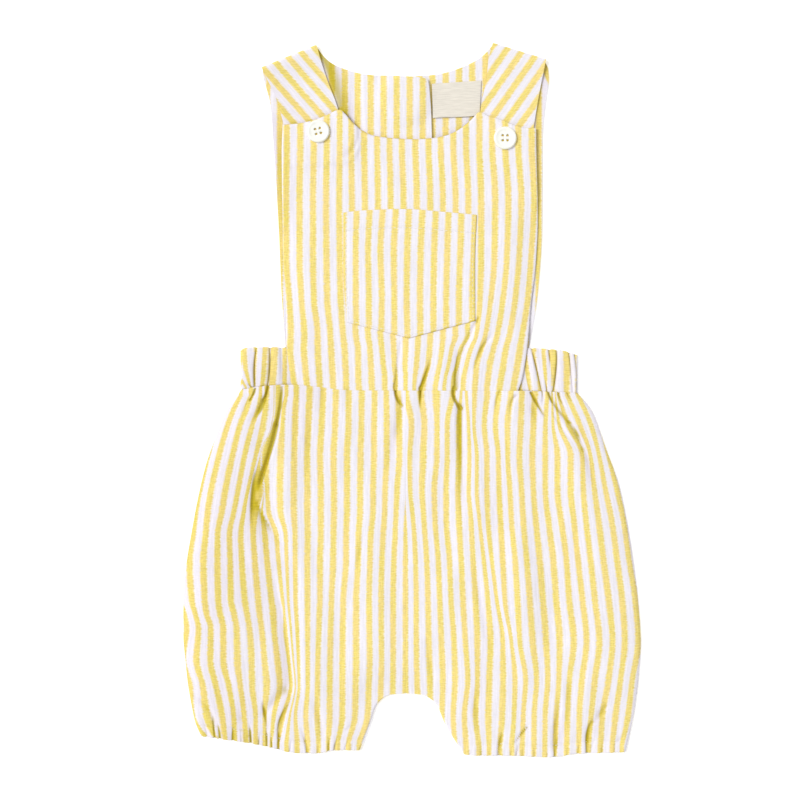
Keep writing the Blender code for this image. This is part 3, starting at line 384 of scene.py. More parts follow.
CREASES = (
    # off the left of the casing, the deep pleat first, with its ridge and the fold that it opens into
    (-81.8, 8, -82.6, -2, -85, -16, 1.1, 0.7, -1, -1.8, -2.4),
    (-85, -16, -88, -29, -95.4, -52.5, 1.8, 0.8, -2.4, -3, -2.4),
    (-81.2, -6, -84.6, -24, -92.6, -46, 0.8, 4, 0.5, 1, 0.6),
    (-98.4, -46, -100.2, -60, -100.6, -78, 1.2, 2, -0.8, -1.8, -0.6),
    (-97, -66, -93, -75, -80.5, -94, 3.4, 1.2, -1.8, -1.8, -0.5),
    (-99, 7, -100, 3.6, -102.2, 0, 0.7, 0.8, -2.6, -2.8, -1.8),
    (-102.2, 0.4, -105.6, -7, -109, -16, 1.8, 1.4, -1.2, -0.8, -0.2),
    (-90.8, 9.4, -91.6, 5, -93.2, -0.4, 0.7, 0.8, -2.8, -2.8, -2.6),
    (-93.2, 0, -95.6, -6, -100, -12.5, 1.9, 1.5, -2.4, -2.2, -0.5),
    (-80.4, 2.4, -81.2, -1, -82.4, -5, 0.6, 0.6, -0.6, -1, -0.5),
    # through the waist, from the pocket down
    (-7.4, 35.5, -8.8, 23, -10.4, 8.5, 0.9, 0.8, -0.6, -1.2, -2.2),
    (-10.4, 10, -9.6, 2, -5.8, -3.6, 0.9, 1, -2.4, -2.6, -1),
    (-7, -2, -10.5, -20, -15, -42, 3.4, 3, -1, -1.2, -0.3),
    (11.6, 25, 9.4, 17, 5.6, 7, 1.1, 0.8, -0.5, -1.8, -2.6),
    (5.6, 8, 5.3, 3, 5.5, -4.5, 0.7, 0.8, -2.8, -2.4, -0.4),
    (41.8, 51, 36.2, 40.6, 30.2, 26, 1.1, 0.7, -1.6, -2.4, -2.6),
    (30.2, 27, 28.8, 17, 28.4, 7, 1.6, 0.8, -2.4, -2.8, -2.6),
    (26.6, 7.6, 26.8, 1.4, 31.2, -5.4, 1, 1, -1.8, -2.8, -2.2),
    (30.6, -5, 30.4, -30, 31, -73.5, 2.4, 2, -2.2, -1.8, -0.4),
    (50.6, 40.4, 44.4, 32.6, 39.6, 20, 1.4, 0.9, -0.4, -1.8, -0.6),
    (55.5, 5.5, 53, -1.5, 52.5, -9.5, 0.9, 0.9, -1, -0.9, -0.1),
    (65.5, 2.5, 62.5, -2.5, 62, -11.5, 1, 1.1, -1.2, -1, -0.2),
    (-73.5, -6.5, -74, -25.5, -73.5, -45.5, 2.4, 2.4, -0.3, -0.5, -0.2),
    (-65.5, -6.5, -65.5, -25.5, -66.5, -45.5, 2.4, 2.4, -0.2, -0.5, -0.2),
    (-57, 5.5, -57, -1.5, -57.5, -9.5, 2.2, 2.2, -0.6, -0.5, -0.1),
    (-40, 5.5, -40, -1.5, -40, -9.5, 2.6, 2.6, -0.6, -0.5, -0.1),
    # round the end of the left strap, under the bib
    (-34.2, 171, -35.2, 160.6, -42.6, 153.4, 0.7, 0.9, -0.3, -0.9, -0.8),
    # off the right of the casing
    (75.4, 4.6, 78.8, -1.6, 83.4, -9.4, 1, 0.8, -2, -2.3, -1.1),
    (77, -2, 77, -7, 77.6, -14, 2.4, 2.4, -0.6, -1, -0.3),
    (82.4, 5.4, 82.6, 1, 81.8, -4, 0.7, 0.8, -1.4, -0.9, -0.2),
    (86.1, 5.6, 87.2, 2, 88.6, -1.4, 0.7, 0.7, -2.6, -2.4, -1.2),
    (88.6, 5, 91, -4, 99.6, -14, 1.2, 1.1, -1.4, -1.7, -1.2),
    (99.6, -14, 104, -21, 108, -31.5, 1.6, 1.2, -1.2, -1.1, -0.7),
    (108, -31.5, 111, -38, 113.5, -52, 1.8, 1.6, -0.7, -0.9, -0.3),
    (89.4, -8, 94, -16.6, 106.5, -33.5, 0.9, 0.8, -0.5, -0.7, -0.3),
    (92.6, 5.4, 93.6, 1, 96, -4, 0.7, 0.8, -2.2, -1.6, -0.4),
    (98, 5.4, 99.6, 1.6, 102.4, -2, 0.7, 0.8, -1.8, -1.2, -0.3),
    # left leg
    (-31, -85.5, -33, -96, -35, -107.5, 1.6, 1.6, -0.3, -0.8, -0.2),
    (-86, -117, -80, -151.5, -77, -183.5, 7, 2, -0.6, -1.8, -2),
    (-70, -120, -69, -155, -69.5, -183.5, 1.8, 2.6, 0.4, 0.9, 0.5),
    (-81, -183.5, -88, -192, -93, -198, 3, 2.4, -1, -1.8, -1),
    (-94, -191.5, -92.5, -199, -91, -207.5, 0.9, 1, -0.8, -1.8, -0.6),
    (-77.5, -192, -83, -202, -84, -213.5, 1, 2, -0.6, -1.8, -1.2),
    (-47, -107.5, -47, -151.5, -47, -202, 5, 5, -0.3, -0.9, -0.4),
    (-62.5, -189.5, -59, -199, -57, -211.5, 1.9, 1.9, -0.4, -1, -0.8),
    (-138.5, -187, -127.5, -197, -122, -212.5, 1.6, 1.4, -1.2, -1.6, -0.8),
    (-108.5, -193, -108, -200.5, -107.5, -208.5, 2.5, 2.2, -0.4, -1.2, -0.8),
    (-37, -205, -40, -207, -42.5, -208.5, 0.8, 0.8, -0.6, -1, -0.5),
    # right leg
    (9, -151.5, 11.5, -170.5, 13.5, -189.5, 1.9, 1.9, -0.3, -0.9, -0.5),
    (40.5, -183.5, 40, -194.5, 41.5, -205.5, 1.9, 1.9, -0.4, -1, -0.6),
    (57, -211, 55.5, -217.5, 55, -225.5, 0.9, 1, -0.9, -1.4, -1),
    (73, -206.6, 69.4, -210.6, 65.2, -216.4, 0.6, 0.6, -1.3, -1.5, -0.8),
    (93.5, -189.5, 91, -205.5, 90.5, -219.5, 2, 1.4, -0.5, -1.6, -1.2),
    (99, -177, 99, -184.5, 98.5, -193, 1.9, 1.9, -0.3, -0.8, -0.3),
    (114, -203, 111, -210, 111, -221, 1.1, 1.2, -1, -1.8, -1),
    (122, -193, 119, -198, 115.5, -203, 2.2, 2, -0.8, -1.4, -0.6),
    (136, -210.5, 132.5, -213, 130.5, -215.5, 0.9, 0.9, -1, -1.2, -0.6),
    (39, -101, 43, -126.5, 49.5, -158, 3.1, 2.8, -0.4, -1.2, -0.4),
    (52.5, -101, 57, -126.5, 60.5, -158, 3, 3.5, 0.4, 1, 0.4),
)

# Cloth in the shade of its folds, in rows like those of the creases: amounts in place of rises
SHADED = (
    # the left side, the deep pleat, what it opens into, and the fold above the left hem
    (-96, 2, -116, -100, -108, -216, 27, 15, 0.2, 0.34, 0.34),
    (-107, -140, -107, -158, -107, -176, 12, 10, -0.12, -0.22, -0.12),
    (-83.8, 8, -84, -3, -86.4, -16, 1.3, 1, 0.2, 0.4, 0.5),
    (-86.4, -15, -90.4, -30, -97.4, -56, 2.2, 1.8, 0.5, 0.65, 0.6),
    (-97, -50, -97, -74, -86, -104, 6, 5, 0.4, 0.35, 0.15),
    (-93.2, 2, -96, -6, -100.5, -13, 2, 1.8, 0.4, 0.5, 0.1),
    (-86, -125, -81.5, -160, -80, -196, 6, 2.4, 0.1, 0.3, 0.36),
    (-132, -214, -106, -217, -80, -222, 8, 8, 0.1, 0.1, 0.05),
    # below the waist, from left to right
    (-70, 2, -68, -14, -60, -44, 13, 12, 0.28, 0.26, 0.1),
    (-99, -78, -96, -106, -92, -140, 9, 8, 0.15, 0.26, 0.14),
    (-7, -1, -9, -16, -15, -42, 2.6, 2.6, 0.3, 0.4, 0.1),
    (28.4, 30, 26.4, 16, 27.2, 7, 2, 1.4, 0.3, 0.5, 0.5),
    (30, -4, 30.6, -36, 32, -86, 2.8, 2.6, 0.5, 0.45, 0.1),
    (56, -30, 58, -62, 58, -94, 6, 5, 0.1, 0.16, 0.06),
    (10, 20, 8, 13, 5.6, 6, 1.6, 1.2, 0.1, 0.3, 0.4),
    (72, 2, 77, -7, 80, -18, 6, 5, 0.2, 0.34, 0.1),
    (89, 2, 95, -9, 104, -22, 3, 2.6, 0.1, 0.35, 0.38),
    (103, -20, 109, -34, 113.5, -56, 4, 3, 0.3, 0.34, 0.1),
    (98, -70, 102, -106, 102, -140, 9, 9, 0.06, 0.14, 0.06),
    # above the right hem
    (48, -150, 43, -176, 38, -206, 8, 7, 0.08, 0.16, 0.16),
    (101, -184, 97, -200, 91.6, -219, 3.6, 2.6, 0.12, 0.36, 0.4),
    (124, -190, 118, -201, 111.4, -213, 3.4, 3, 0.12, 0.34, 0.34),
    (-46, -184, -46, -198, -46, -214, 8, 8, 0.08, 0.16, 0.16),
    # end of the left strap
    (-35.4, 170, -36.4, 160.8, -43.2, 154.4, 2.4, 0.9, 0.15, 0.4, 0.4),
    # casing
    (-104, 32, -94, 16, -84, 8, 10, 12, 0, 0.1, 0.12),
    (74, 30, 88, 18, 100, 8, 12, 12, 0.08, 0.16, 0.08),
    # bib
    (-79, 172, -80, 140, -79, 108, 3, 8, 0.12, 0.2, 0.12),
    (-60, 54, -60, 34, -58, 8, 12, 14, 0.06, 0.12, 0.12),
)
UNDER_BIB_SHADE = 0.5
UNDER_BIB_STRAP_SHADE = 0.4
UNDER_BIB_RIGHT_STRAP_SHADE = 0.05
UNDER_BIB_REACH = 1.6
UNDER_BIB_SPAN = (-80.0, 76.0, 4.0)
BESIDE_BIB_SHADE = 0.12
BESIDE_BIB_LEFT = 0.7       # share of it on the left side
BESIDE_BIB_REACH = 1.4
STRAP_SHADE = ((-92, 205, -84, 180, -76, 162, 16, 18, 0.2, 0.24, 0.2),)
# Painted shade on the back halves beside the bib and the straps, in rows like those of the creases
BESIDE_BIB = (
    (-58, 221, -51.6, 205.4, -44.4, 183, 3, 7.5, 0.95, 0.95, 0.85),
    (-85.5, 178, -85.2, 150, -84.4, 108, 4, 4, 0.3, 0.4, 0.12),
    (84.6, 211, 81, 194, 79.4, 172, 4, 4, 0.6, 0.4, 0.2),
    (79.4, 173, 80.6, 130, 79, 80, 3, 4, 0.1, 0.08, 0.05),
)

# Pinches of the leg hems: x at the hem, lean of its upper end, length, half width, depth
HEM_PINCHES = (
    (-129.5, -3, 14, 0.68, 1.5), (-124.4, -1.4, 14, 0.6, 2.2), (-121, -1.6, 10, 0.6, 2.4),
    (-113, 0.3, 10, 0.68, 1.5), (-107.6, -0.5, 8, 0.6, 0.8), (-101.6, -0.8, 12, 0.6, 2.4),
    (-96.5, 0.5, 7, 0.6, 0.9), (-91.4, -0.4, 12, 0.6, 2.4), (-88.4, -0.6, 9, 0.52, 1.8),
    (-84.2, 0.4, 11, 0.68, 2.6), (-77, 0.8, 8, 0.68, 1), (-66, -4, 16, 0.83, 2),
    (-59.5, 0.4, 7, 0.68, 0.7), (-52.6, 0.2, 9, 0.68, 2), (-49, 1.6, 8, 0.6, 1.5),
    (-42.4, 3.2, 8, 0.6, 1), (-38, 1, 6, 0.6, 0.6), (36.5, 0.4, 6, 0.68, 0.7), (44, -0.4, 7, 0.68, 0.8),
    (49, 0.3, 7, 0.68, 0.7), (55, 1.2, 12, 0.68, 2.2), (62.4, 0.5, 8, 0.68, 1), (66, 2.4, 9, 0.7, 1.5),
    (70, 0.4, 7, 0.75, 0.8), (77.5, -0.4, 8, 0.75, 1), (85.5, 0.6, 7, 0.68, 0.8),
    (90.4, 1.4, 13, 0.75, 2.4), (98, 0.4, 8, 0.75, 0.9), (105, 0.8, 8, 0.68, 1),
    (110.6, 0, 12, 0.68, 2.6), (112.8, 2.4, 9, 0.6, 1), (120, 0.6, 7, 0.75, 1), (128, 1, 9, 0.68, 1),
)
PINCH_RISES = (-0.1, -0.7, -0.82)       # at its top, its middle and the hem, as shares of its depth
PINCH_BEND = 0.35
HEM_NOTCH = 0.3             # share of a pinch's depth that it lifts the hem's edge
HEM_NOTCH_WIDTH = 1.6       # in half widths of the pinch
HEM_NOTCH_REACH = 4.0

# Pleats of the elastic casing, as the creases
CASING_PLEATS = (
    (-97.8, 34, -99.4, 22, -99, 6.4, 0.8, 0.7, -0.8, -2.2, -2.6),
    (-106.5, 10, -103, 9.5, -99.4, 6.5, 0.6, 0.7, -0.2, -1, -1.8),
    (-99, 6.4, -96, 7.8, -93.2, 9.2, 0.6, 0.6, -2, -1.4, -0.3),
    (-89.6, 34, -89.8, 20, -91, 8, 0.8, 0.8, -2.6, -2.6, -2.6),
    (-82, 34, -82, 27, -81.5, 14, 1.8, 1.2, -1.2, -1, -0.6),
    (75.6, 33, 78.2, 22, 82.4, 4.7, 0.9, 0.8, -2.6, -2.2, -1.4),
    (86.4, 33, 87, 27, 87.4, 21, 0.8, 0.8, -2.4, -1.4, -0.3),
    (91.4, 31, 91.2, 20, 89.2, 4.7, 0.7, 0.8, -2, -2.6, -2.6),
    (99.2, 31, 99.9, 24, 101.6, 5, 0.8, 0.9, -2.4, -1.4, -0.8),
    (102.8, 29, 103.6, 22, 104, 14, 0.7, 0.8, -2.4, -1.8, -0.3),
    (71, 24, 72, 15, 74.6, 5, 0.7, 0.7, -2.4, -2.2, -1.8),
    (84, 13, 84.8, 9, 85.4, 4.7, 0.7, 0.7, -0.2, -1.2, -1.8),
)
CREASE_STEPS = 14
CREASE_SPREAD = 3.0         # half widths past which a crease is left out
CREASE_REACH = 2.6          # cloth around a point that tells whether it lies in a crease
CREASE_DEPTH = 1.4          # depth at which a crease is in full shade
EVENED_REACH = 2.5
FAR_WALL_SHADE = 0.65
FAR_WALL_FROM = 0.35        # slope from which a wall is in shade
FAR_WALL_TO_FULL = 0.9
EDGE_SHADE = 0.7
EDGE_SHADE_REACH = 0.8
DRAWN_IN = 0.07             # stripes that a pinch takes up for each mm of its depth
DRAWN_SPREAD = 5.0
DRAWN_FADING = 0.35

# Soft unevenness of laid cloth: length across, length along, height, phase
UNEVENNESS = (
    (23, 160, 0.1, 0.4), (31, -90, 0.1, 2.1), (47, 75, 0.14, 3.9), (61, -140, 0.12, 1.2),
    (17, 60, 0.05, 5.3), (13, -48, 0.035, 0.9),
)

# ---- buttons and label ----

BUTTON_RADIUS = 7.2
BUTTON_HEIGHT = 2.6
BACK_BUTTON_HEIGHT = 2.0
BUTTON_SINK = 0.15
BUTTON_HOLE_RADIUS = 0.78
HOLE_REACH = 1.5
HOLES = [(x, y) for x in (-HOLE_REACH, HOLE_REACH) for y in (-HOLE_REACH, HOLE_REACH)]
SHARP_ANGLE = math.radians(40)
# Strands of thread over the holes, and the thread down in them, which is painted darker for the shade in
# the holes
STRAND_STEP = 0.24
STRAND_LIFT = 0.02
STRAND_END = 0.3
STRAND_WIDTH = 0.2
STRAND_HEIGHT = 0.16
THREAD_WIDTH = 0.74
THREAD_LEVEL = 0.4
THREAD_DEPTH = 0.22
BUTTONS = (                 # name, x, y, turn in degrees
    ("button_left", -59.2, 169.4, 13), ("button_right", 58.7, 165.2, 0),
)
# Half of a button's outline, as shares of its radius and its height
BUTTON_OUTLINE = (
    (0, 0.06), (0.8, 0), (0.93, 0.1), (1, 0.4), (1, 0.6), (0.97, 0.82), (0.91, 0.97), (0.85, 1),
    (0.79, 0.97), (0.72, 0.9), (0.64, 0.85), (0.5, 0.84), (0, 0.84),
)
LABEL_ENDS = (              # share of its height, left end x, y, right end x, y
    (0, 13, 177.8, 43, 179.9), (1, 12.6, 200, 44, 202),
)
LABEL_WALL = 0.5
LABEL_LIFT = 0.4
LABEL_SWAY = 0.3            # waves of its lower end, sideways, up in the middle, and small ones
LABEL_BULGE = 0.5
LABEL_RIPPLE = 0.12

# ---- stitches ----

STITCH = 2.3
STITCH_GAP = 0.9
STITCH_START = 0.15
STITCH_SINK = 0.1
POCKET_STITCHES_END = 0.995 # share of the pocket's height
HEM_STITCHES_END = 0.985    # share of the way out to a hem's outer end
HEM_STITCHES_INNER = 0.03   # share of the hem that they leave free at its inner end
STITCH_THICKNESS = 0.36

# ---- camera and light ----

CAMERA_X = -7.6
CAMERA_HEIGHT = 1407.0
CAMERA_LENS = 100.0
LIGHT_FROM = (-0.53, 0.21, 0.82)
LIGHT_SOFTNESS = 24.0       # degrees across
KEY_STRENGTH = 1.95
FILL_STRENGTH = 0.587
FLOOR_SIZE = 12.0
FLOOR_DROP = 0.3
FLOOR_GLOW = 0.35

# ---- weave and colours ----

# Noise of the cloth: grains across a stripe, grains along it, and detail
WARP_NOISE = (16.0, 1.1, 2.0)
WEFT_NOISE = (1.0, 16.0, 2.0)
WANDER_NOISE = (1.5, 7.0, 3.0)
RAGGED_NOISE = (3.0, 9.0, 1.0)
FLECK_NOISE = (3.0, 9.0, 2.0)
STREAK_NOISE = (6.0, 0.3, 2.0)
FADED_NOISE = (1.1, 0.3, 3.0)
# What each of them does: its values at the start and the end, and the amounts there
SLUBS_PALER = (0.36, 0.62, -0.1, 1.0)
CROSSINGS_PALER = (0.1, 1.0, 0.0, 0.25)
YELLOW_FADES = (0.4, 0.66, 0.0, 0.7)
YELLOW_STREAKS = (0.44, 0.62, 0.0, 0.6)
YELLOW_FLECKS = (0.35, 0.65, 0.92, 1.05)
YELLOW_SLUBS = (0.3, 0.7, 0.92, 1.05)
WHITE_FLECKS = (0.3, 0.7, 0.975, 1.02)
WHITE_SLUBS = (0.3, 0.7, 0.965, 1.025)
WHITE_STREAKS = (0.36, 0.6, 1.03, 0.965)
LABEL_SLUBS = (0.3, 0.7, 0.90, 1.06)
BUTTON_POLISH = (0.3, 0.7, 0.25, 0.4)
WEAVE_RELIEF = 0.3          # height of the weave's crossings beside that of its slubs
STRIPE_WANDER = 0.10        # how far a stripe's edges wander, and how ragged they are, in stripes
STRIPE_RAGGED = 0.16
STRIPE_CENTRED = (STRIPE_WANDER + STRIPE_RAGGED) / 2
STRIPE_EDGE = (0.15, 0.335)             # from the middle of a yellow stripe, in stripes
THREADS_A_STRIPE = 20.0
THREADS_OF_LABEL = 26.0
YELLOW_DEEP = (0.85, 0.665, 0.135)
YELLOW_PALE = (0.90, 0.775, 0.27)
YELLOW_FADED = (0.935, 0.725, 0.275)
# Painted shade: the colours that yellow and white take on in the shade of folds and creases
YELLOW_IN_SHADE = (0.56, 0.44, 0.02)
WHITE_THREAD = (0.865, 0.835, 0.893)
WHITE_IN_FOLD_SHADE = (0.81, 0.75, 0.82)
WHITE_IN_CREASE_SHADE = (0.55, 0.46, 0.06)
FOLD_SHADE = 0.45           # amount of shade that turns white into the colour that it has in a fold
LABEL_LINEN = (0.80, 0.75, 0.66)
BUTTON_CREAM = (0.955, 0.955, 0.885)
COTTON_THREAD = (0.86, 0.85, 0.82)
# Thread down in the button holes: its yellow is the thread's own, darkened as painted shade of the holes
SHADED_HOLE_THREAD_COLOUR = (0.66, 0.44, 0.05)
PALE_FLOOR = (0.93, 0.93, 0.93)
WHITE_LIGHT = (1, 1, 1, 1)


# ---- curves through the rows of a table ----

def along_table(rows, place):
    """The other columns of a table at any places in its first, on curves that never overshoot."""
    table = np.array(rows, dtype=float)
    key = table[:, 0]
    place = np.clip(np.asarray(place, dtype=float), key[0], key[-1])
    low = np.clip(np.searchsorted(key, place, side="right") - 1, 0, len(key) - 2)
    run = np.diff(table[:, 1:], axis=0) / np.diff(key)[:, None]
    slopes = knot_slopes(run)
    step = (key[low + 1] - key[low])[..., None]
    t = (place - key[low])[..., None] / step
    value = ((2 * t**3 - 3 * t**2 + 1) * table[low, 1:] + (t**3 - 2 * t**2 + t) * slopes[low] * step
             + (3 * t**2 - 2 * t**3) * table[low + 1, 1:] + (t**3 - t**2) * slopes[low + 1] * step)
    return np.moveaxis(value, -1, 0)


def knot_slopes(run):
    """Slope at each row: none at a turning point, so that a curve stays between its rows."""
    before = np.concatenate((run[:1], run))
    after = np.concatenate((run, run[-1:]))
    product = before * after
    total = np.where(product > 0, before + after, 1.0)
    return np.where(product > 0, 2 * product / total, 0.0)


def height_at(rows, place):
    return along_table(rows, place)[0]


def mix(first, last, share):
    return first + (last - first) * share


def between_edges(rows, place, across):
    """x and y between the two edges that a table's rows give, and what else the rows hold."""
    outer_x, outer_y, inner_x, inner_y, *rest = along_table(rows, place)
    return mix(outer_x, inner_x, across), mix(outer_y, inner_y, across), *rest


# ---- soft steps and swells ----

def smooth_step(value):
    value = np.clip(value, 0.0, 1.0)
    return value * value * (3 - 2 * value)


def span(x, left, right, softness):
    """1 between two places, and softly down to 0 at them."""
    return smooth_step((x - left) / softness) * smooth_step((right - x) / softness)


def swell(distance, reach):
    """1 where there is no distance, and softly down to 0 past its reach."""
    return np.exp(-(distance / reach)**2)


def fading(distance, reach):
    return np.exp(-np.maximum(distance, 0) / reach)


def kept_above(value, floor, softness):
    """A value that bends softly as it nears the lowest one that it may have."""
    over = value - floor
    return floor + 0.5 * (over + np.sqrt(over * over + softness * softness))


# ---- creases ----

def crease_line(row):
    """Points on the curve through a crease's start, middle and end."""
    t = np.linspace(0, 1, CREASE_STEPS)
    start, middle, end = (np.array(row[i:i + 2]) for i in (0, 2, 4))
    bend = 2 * middle - (start + end) / 2
    return (np.outer((1 - t)**2, start) + np.outer(2 * t * (1 - t), bend) + np.outer(t**2, end))


def nearest_on_line(line, x, y):
    """Distance from a line, the side of it, and how far along it the nearest point lies."""
    gap = np.full(x.shape, 1e9)
    side = np.zeros(x.shape)
    along = np.zeros(x.shape)
    for i, (start, end) in enumerate(zip(line[:-1], line[1:])):
        run = end - start
        share = ((x - start[0]) * run[0] + (y - start[1]) * run[1]) / (run @ run)
        share = np.clip(share, 0, 1)
        off_x = x - start[0] - share * run[0]
        off_y = y - start[1] - share * run[1]
        distance = np.hypot(off_x, off_y)
        closer = distance < gap
        gap = np.where(closer, distance, gap)
        side = np.where(closer, run[0] * off_y - run[1] * off_x, side)
        along = np.where(closer, (i + share) / (len(line) - 1), along)
    return gap, side, along


def creases_near(rows, x, y, reach):
    """Each crease that passes within so many of its half widths of some points: its row, which
    points these are, their distance from it, the side of it, and its rise where they lie."""
    for row in rows:
        line = crease_line(row)
        around = reach * max(row[6], row[7])
        low = line.min(axis=0) - around
        high = line.max(axis=0) + around
        near = (x > low[0]) & (x < high[0]) & (y > low[1]) & (y < high[1])
        if near.any():
            gap, side, along = nearest_on_line(line, x[near], y[near])
            yield row, near, gap, side, np.interp(along, (0.0, 0.5, 1.0), row[8:])


def crease_height(rows, x, y):
    """Soft troughs and ridges along curved lines, with sides of different widths."""
    height = np.zeros_like(x)
    for row, near, gap, side, rise in creases_near(rows, x, y, CREASE_SPREAD):
        height[near] += rise * swell(gap, np.where(side < 0, row[6], row[7]))
    return height


def drawn_in(rows, x, y):
    """How far the stripes are drawn in, as a count, where a crease takes up cloth."""
    count = np.zeros_like(x)
    for row, near, gap, side, rise in creases_near(rows, x, y, DRAWN_SPREAD):
        across = np.sign(side) * gap / max(row[6], row[7])
        count[near] += DRAWN_IN * -rise * across * np.exp(-DRAWN_FADING * across**2)
    return count


def unevenness(x, y):
    wave = np.zeros_like(x)
    for across, along, height, phase in UNEVENNESS:
        wave += height * np.sin(2 * math.pi * (x / across + y / along) + phase)
    return wave


def half_hem(table, drop, x):
    outer_x, outer_y, inner_x, inner_y = table[-1][1:5]
    share = np.clip((x - outer_x) / (inner_x - outer_x), 0, 1)
    return mix(outer_y, inner_y, share) - height_at(drop, share)


def hem_line(x):
    """Height of the leg hems."""
    left = half_hem(SHORTS_LEFT, HEM_DROP_LEFT, x)
    return np.where(x <= SEAM_X, left, half_hem(SHORTS_RIGHT, HEM_DROP_RIGHT, x))


def hem_pinches():
    """The pinches of the hems, as creases."""
    rows = []
    for x, lean, length, half_width, depth in HEM_PINCHES:
        hem = float(hem_line(np.array([x]))[0])
        top = (x + lean, hem + length)
        middle = (x + lean * PINCH_BEND, hem + length / 2)
        rises = [share * depth for share in PINCH_RISES]
        rows.append((*top, *middle, x, hem, half_width, half_width, *rises))
    return rows


def hem_notches(x):
    """How far the pinches lift the edge of the hems."""
    lift = np.zeros_like(x)
    for at, _, _, half_width, depth in HEM_PINCHES:
        lift += HEM_NOTCH * depth * swell(x - at, HEM_NOTCH_WIDTH * half_width)
    return lift


PINCHES = hem_pinches()
FRONT_CREASES = (*WIDE_FOLDS, *CREASES, *PINCHES)


def front_relief(x, y):
    return height_at(PUFF, y) + crease_height(FRONT_CREASES, x, y) + unevenness(x, y)


# ---- how high each layer lies ----

def shorts_height(x, y):
    """Outside of the front of the shorts."""
    left, right = (height_at([(-row[2], row[1]) for row in table], -y)
                   for table in (SHORTS_LEFT, SHORTS_RIGHT))
    rounded = 1 - fading(np.minimum(x - left, right - x), SIDE_ROUNDING)
    start = mix(WAIST_LIFT, BIB_WAIST_LIFT, span(x, *BIB_OVER_WAIST))
    start = start * fading(height_at(WAIST_LINE, x) - y, WAIST_LIFT_REACH)
    arch = (np.hypot(x - SEAM_X, y - CROTCH_ARCH_Y) - CROTCH_FLAT) / CROTCH_SLOPE
    above_hem = y - hem_line(x)
    phase = x / HEM_GATHER + HEM_GATHER_SWAY * np.sin(x / HEM_GATHER_SWAY_LENGTH)
    wave = HEM_GATHER_RISE * (0.5 + 0.5 * np.cos(2 * math.pi * phase))
    wave = wave * fading(above_hem, HEM_GATHER_REACH)
    relief = (front_relief(x, y) * smooth_step(arch) + start) * rounded + wave
    casing = smooth_step(1.5 - above_hem / HEM_CASING) - swell(above_hem - HEM_CASING, HEM_STITCH_REACH)
    return LAYER + CLOTH + kept_above(relief, 0.0, SHORTS_SOFTNESS) + HEM_CASING_RISE * casing


def bib_edges(y):
    return along_table(BIB_SIDES, (y - BIB_LOW) / (BIB_HIGH - BIB_LOW))


def strap_end_rise(x, y):
    """The strap's end under the bib, a box with round corners."""
    middle_x, middle_y, half_width, half_height, corner, turn = STRAP_END
    off_x = (x - middle_x) * math.cos(turn) + (y - middle_y) * math.sin(turn)
    off_y = (y - middle_y) * math.cos(turn) - (x - middle_x) * math.sin(turn)
    past_x = np.maximum(np.abs(off_x) - half_width + corner, 0)
    past_y = np.maximum(np.abs(off_y) - half_height + corner, 0)
    outside = np.hypot(past_x, past_y) - corner
    from_left = smooth_step((x - STRAP_END_FADE[0]) / (STRAP_END_FADE[1] - STRAP_END_FADE[0]))
    rise = STRAP_END_RISE * smooth_step(0.5 - outside / STRAP_END_SLOPE)
    return rise * mix(STRAP_END_FAINTEST, 1.0, from_left)


def bib_height(x, y):
    """Outside of the bib."""
    left, right = bib_edges(y)
    inwards = smooth_step(np.minimum(x - left, right - x) / BIB_EDGE_SOFTNESS)
    edge = height_at(BIB_EDGE_LIFT, y)
    relief = front_relief(x, y) - BIB_RELIEF_BASE
    height = mix(edge, BIB_REST, inwards) + relief * mix(BIB_EDGE_RELIEF, 1.0, inwards)
    height = kept_above(height, mix(edge, BIB_LOWEST, inwards) - BIB_SAG, RELIEF_SOFTNESS)
    return height + CLOTH + strap_end_rise(x, y)


def under_placket(x):
    return PLACKET_RISE * smooth_step((x - PLACKET_UNDER_EDGE + PLACKET_RISE_START) / PLACKET_SLOPE)


def over_button(x, y, wider=0.0):
    away = np.hypot(x - BACK_BUTTON[0], y - BACK_BUTTON[1]) - BACK_BUTTON_DOME - wider
    return BACK_BUTTON_CLEAR * smooth_step(1 - away / BACK_BUTTON_SLOPE)


# ---- stripes ----

def stripe_count(stripes, rows, place, x):
    """Stripe count at each point, from the x of some numbered stripes in the rows of a table."""
    at = along_table(rows, place)
    counts = np.array(stripes, dtype=float)
    low = np.clip((at < x).sum(axis=0) - 1, 0, len(counts) - 2)
    first = np.take_along_axis(at, low[None], 0)[0]
    last = np.take_along_axis(at, low[None] + 1, 0)[0]
    return mix(counts[low], counts[low + 1], (x - first) / (last - first))


# ---- shade ----

def evened(values, steps, axis):
    """Values evened out along one axis of a grid, over that many steps each way."""
    reach = int(math.ceil(EVENED_REACH * steps))
    weights = np.exp(-0.5 * (np.arange(-reach, reach + 1) / steps)**2)
    ends = [(0, 0), (0, 0)]
    ends[axis] = (reach, reach)
    padded = np.pad(values, ends, mode="edge")
    return np.apply_along_axis(np.convolve, axis, padded, weights / weights.sum(), mode="valid")


def hollows(z, across, up):
    """How deep each point lies in a crease, 0 to 1, for a grid's steps across and up in mm."""
    around = evened(evened(z, CREASE_REACH / across, 1), CREASE_REACH / up, 0)
    return np.clip((around - z) / CREASE_DEPTH, 0, 1)


def shaded(x, y, z, across, up):
    """Shade of the cloth, 0 to 1: that of its folds, of its creases and of the walls of those that
    fall away from the light, for a grid's steps."""
    run = np.gradient(x, axis=1)
    fall = -np.gradient(z, axis=1) / np.where(np.abs(run) < 1e-4, 1e-4, run)
    far_wall = FAR_WALL_SHADE * smooth_step((fall - FAR_WALL_FROM) / FAR_WALL_TO_FULL)
    return np.clip(crease_height(SHADED, x, y) + hollows(z, across, up) + far_wall, 0, 1)


def edge_shade(distance):
    """Shade in the edge that faces away from the light."""
    return EDGE_SHADE * swell(distance, EDGE_SHADE_REACH)


# ---- making a piece of cloth ----

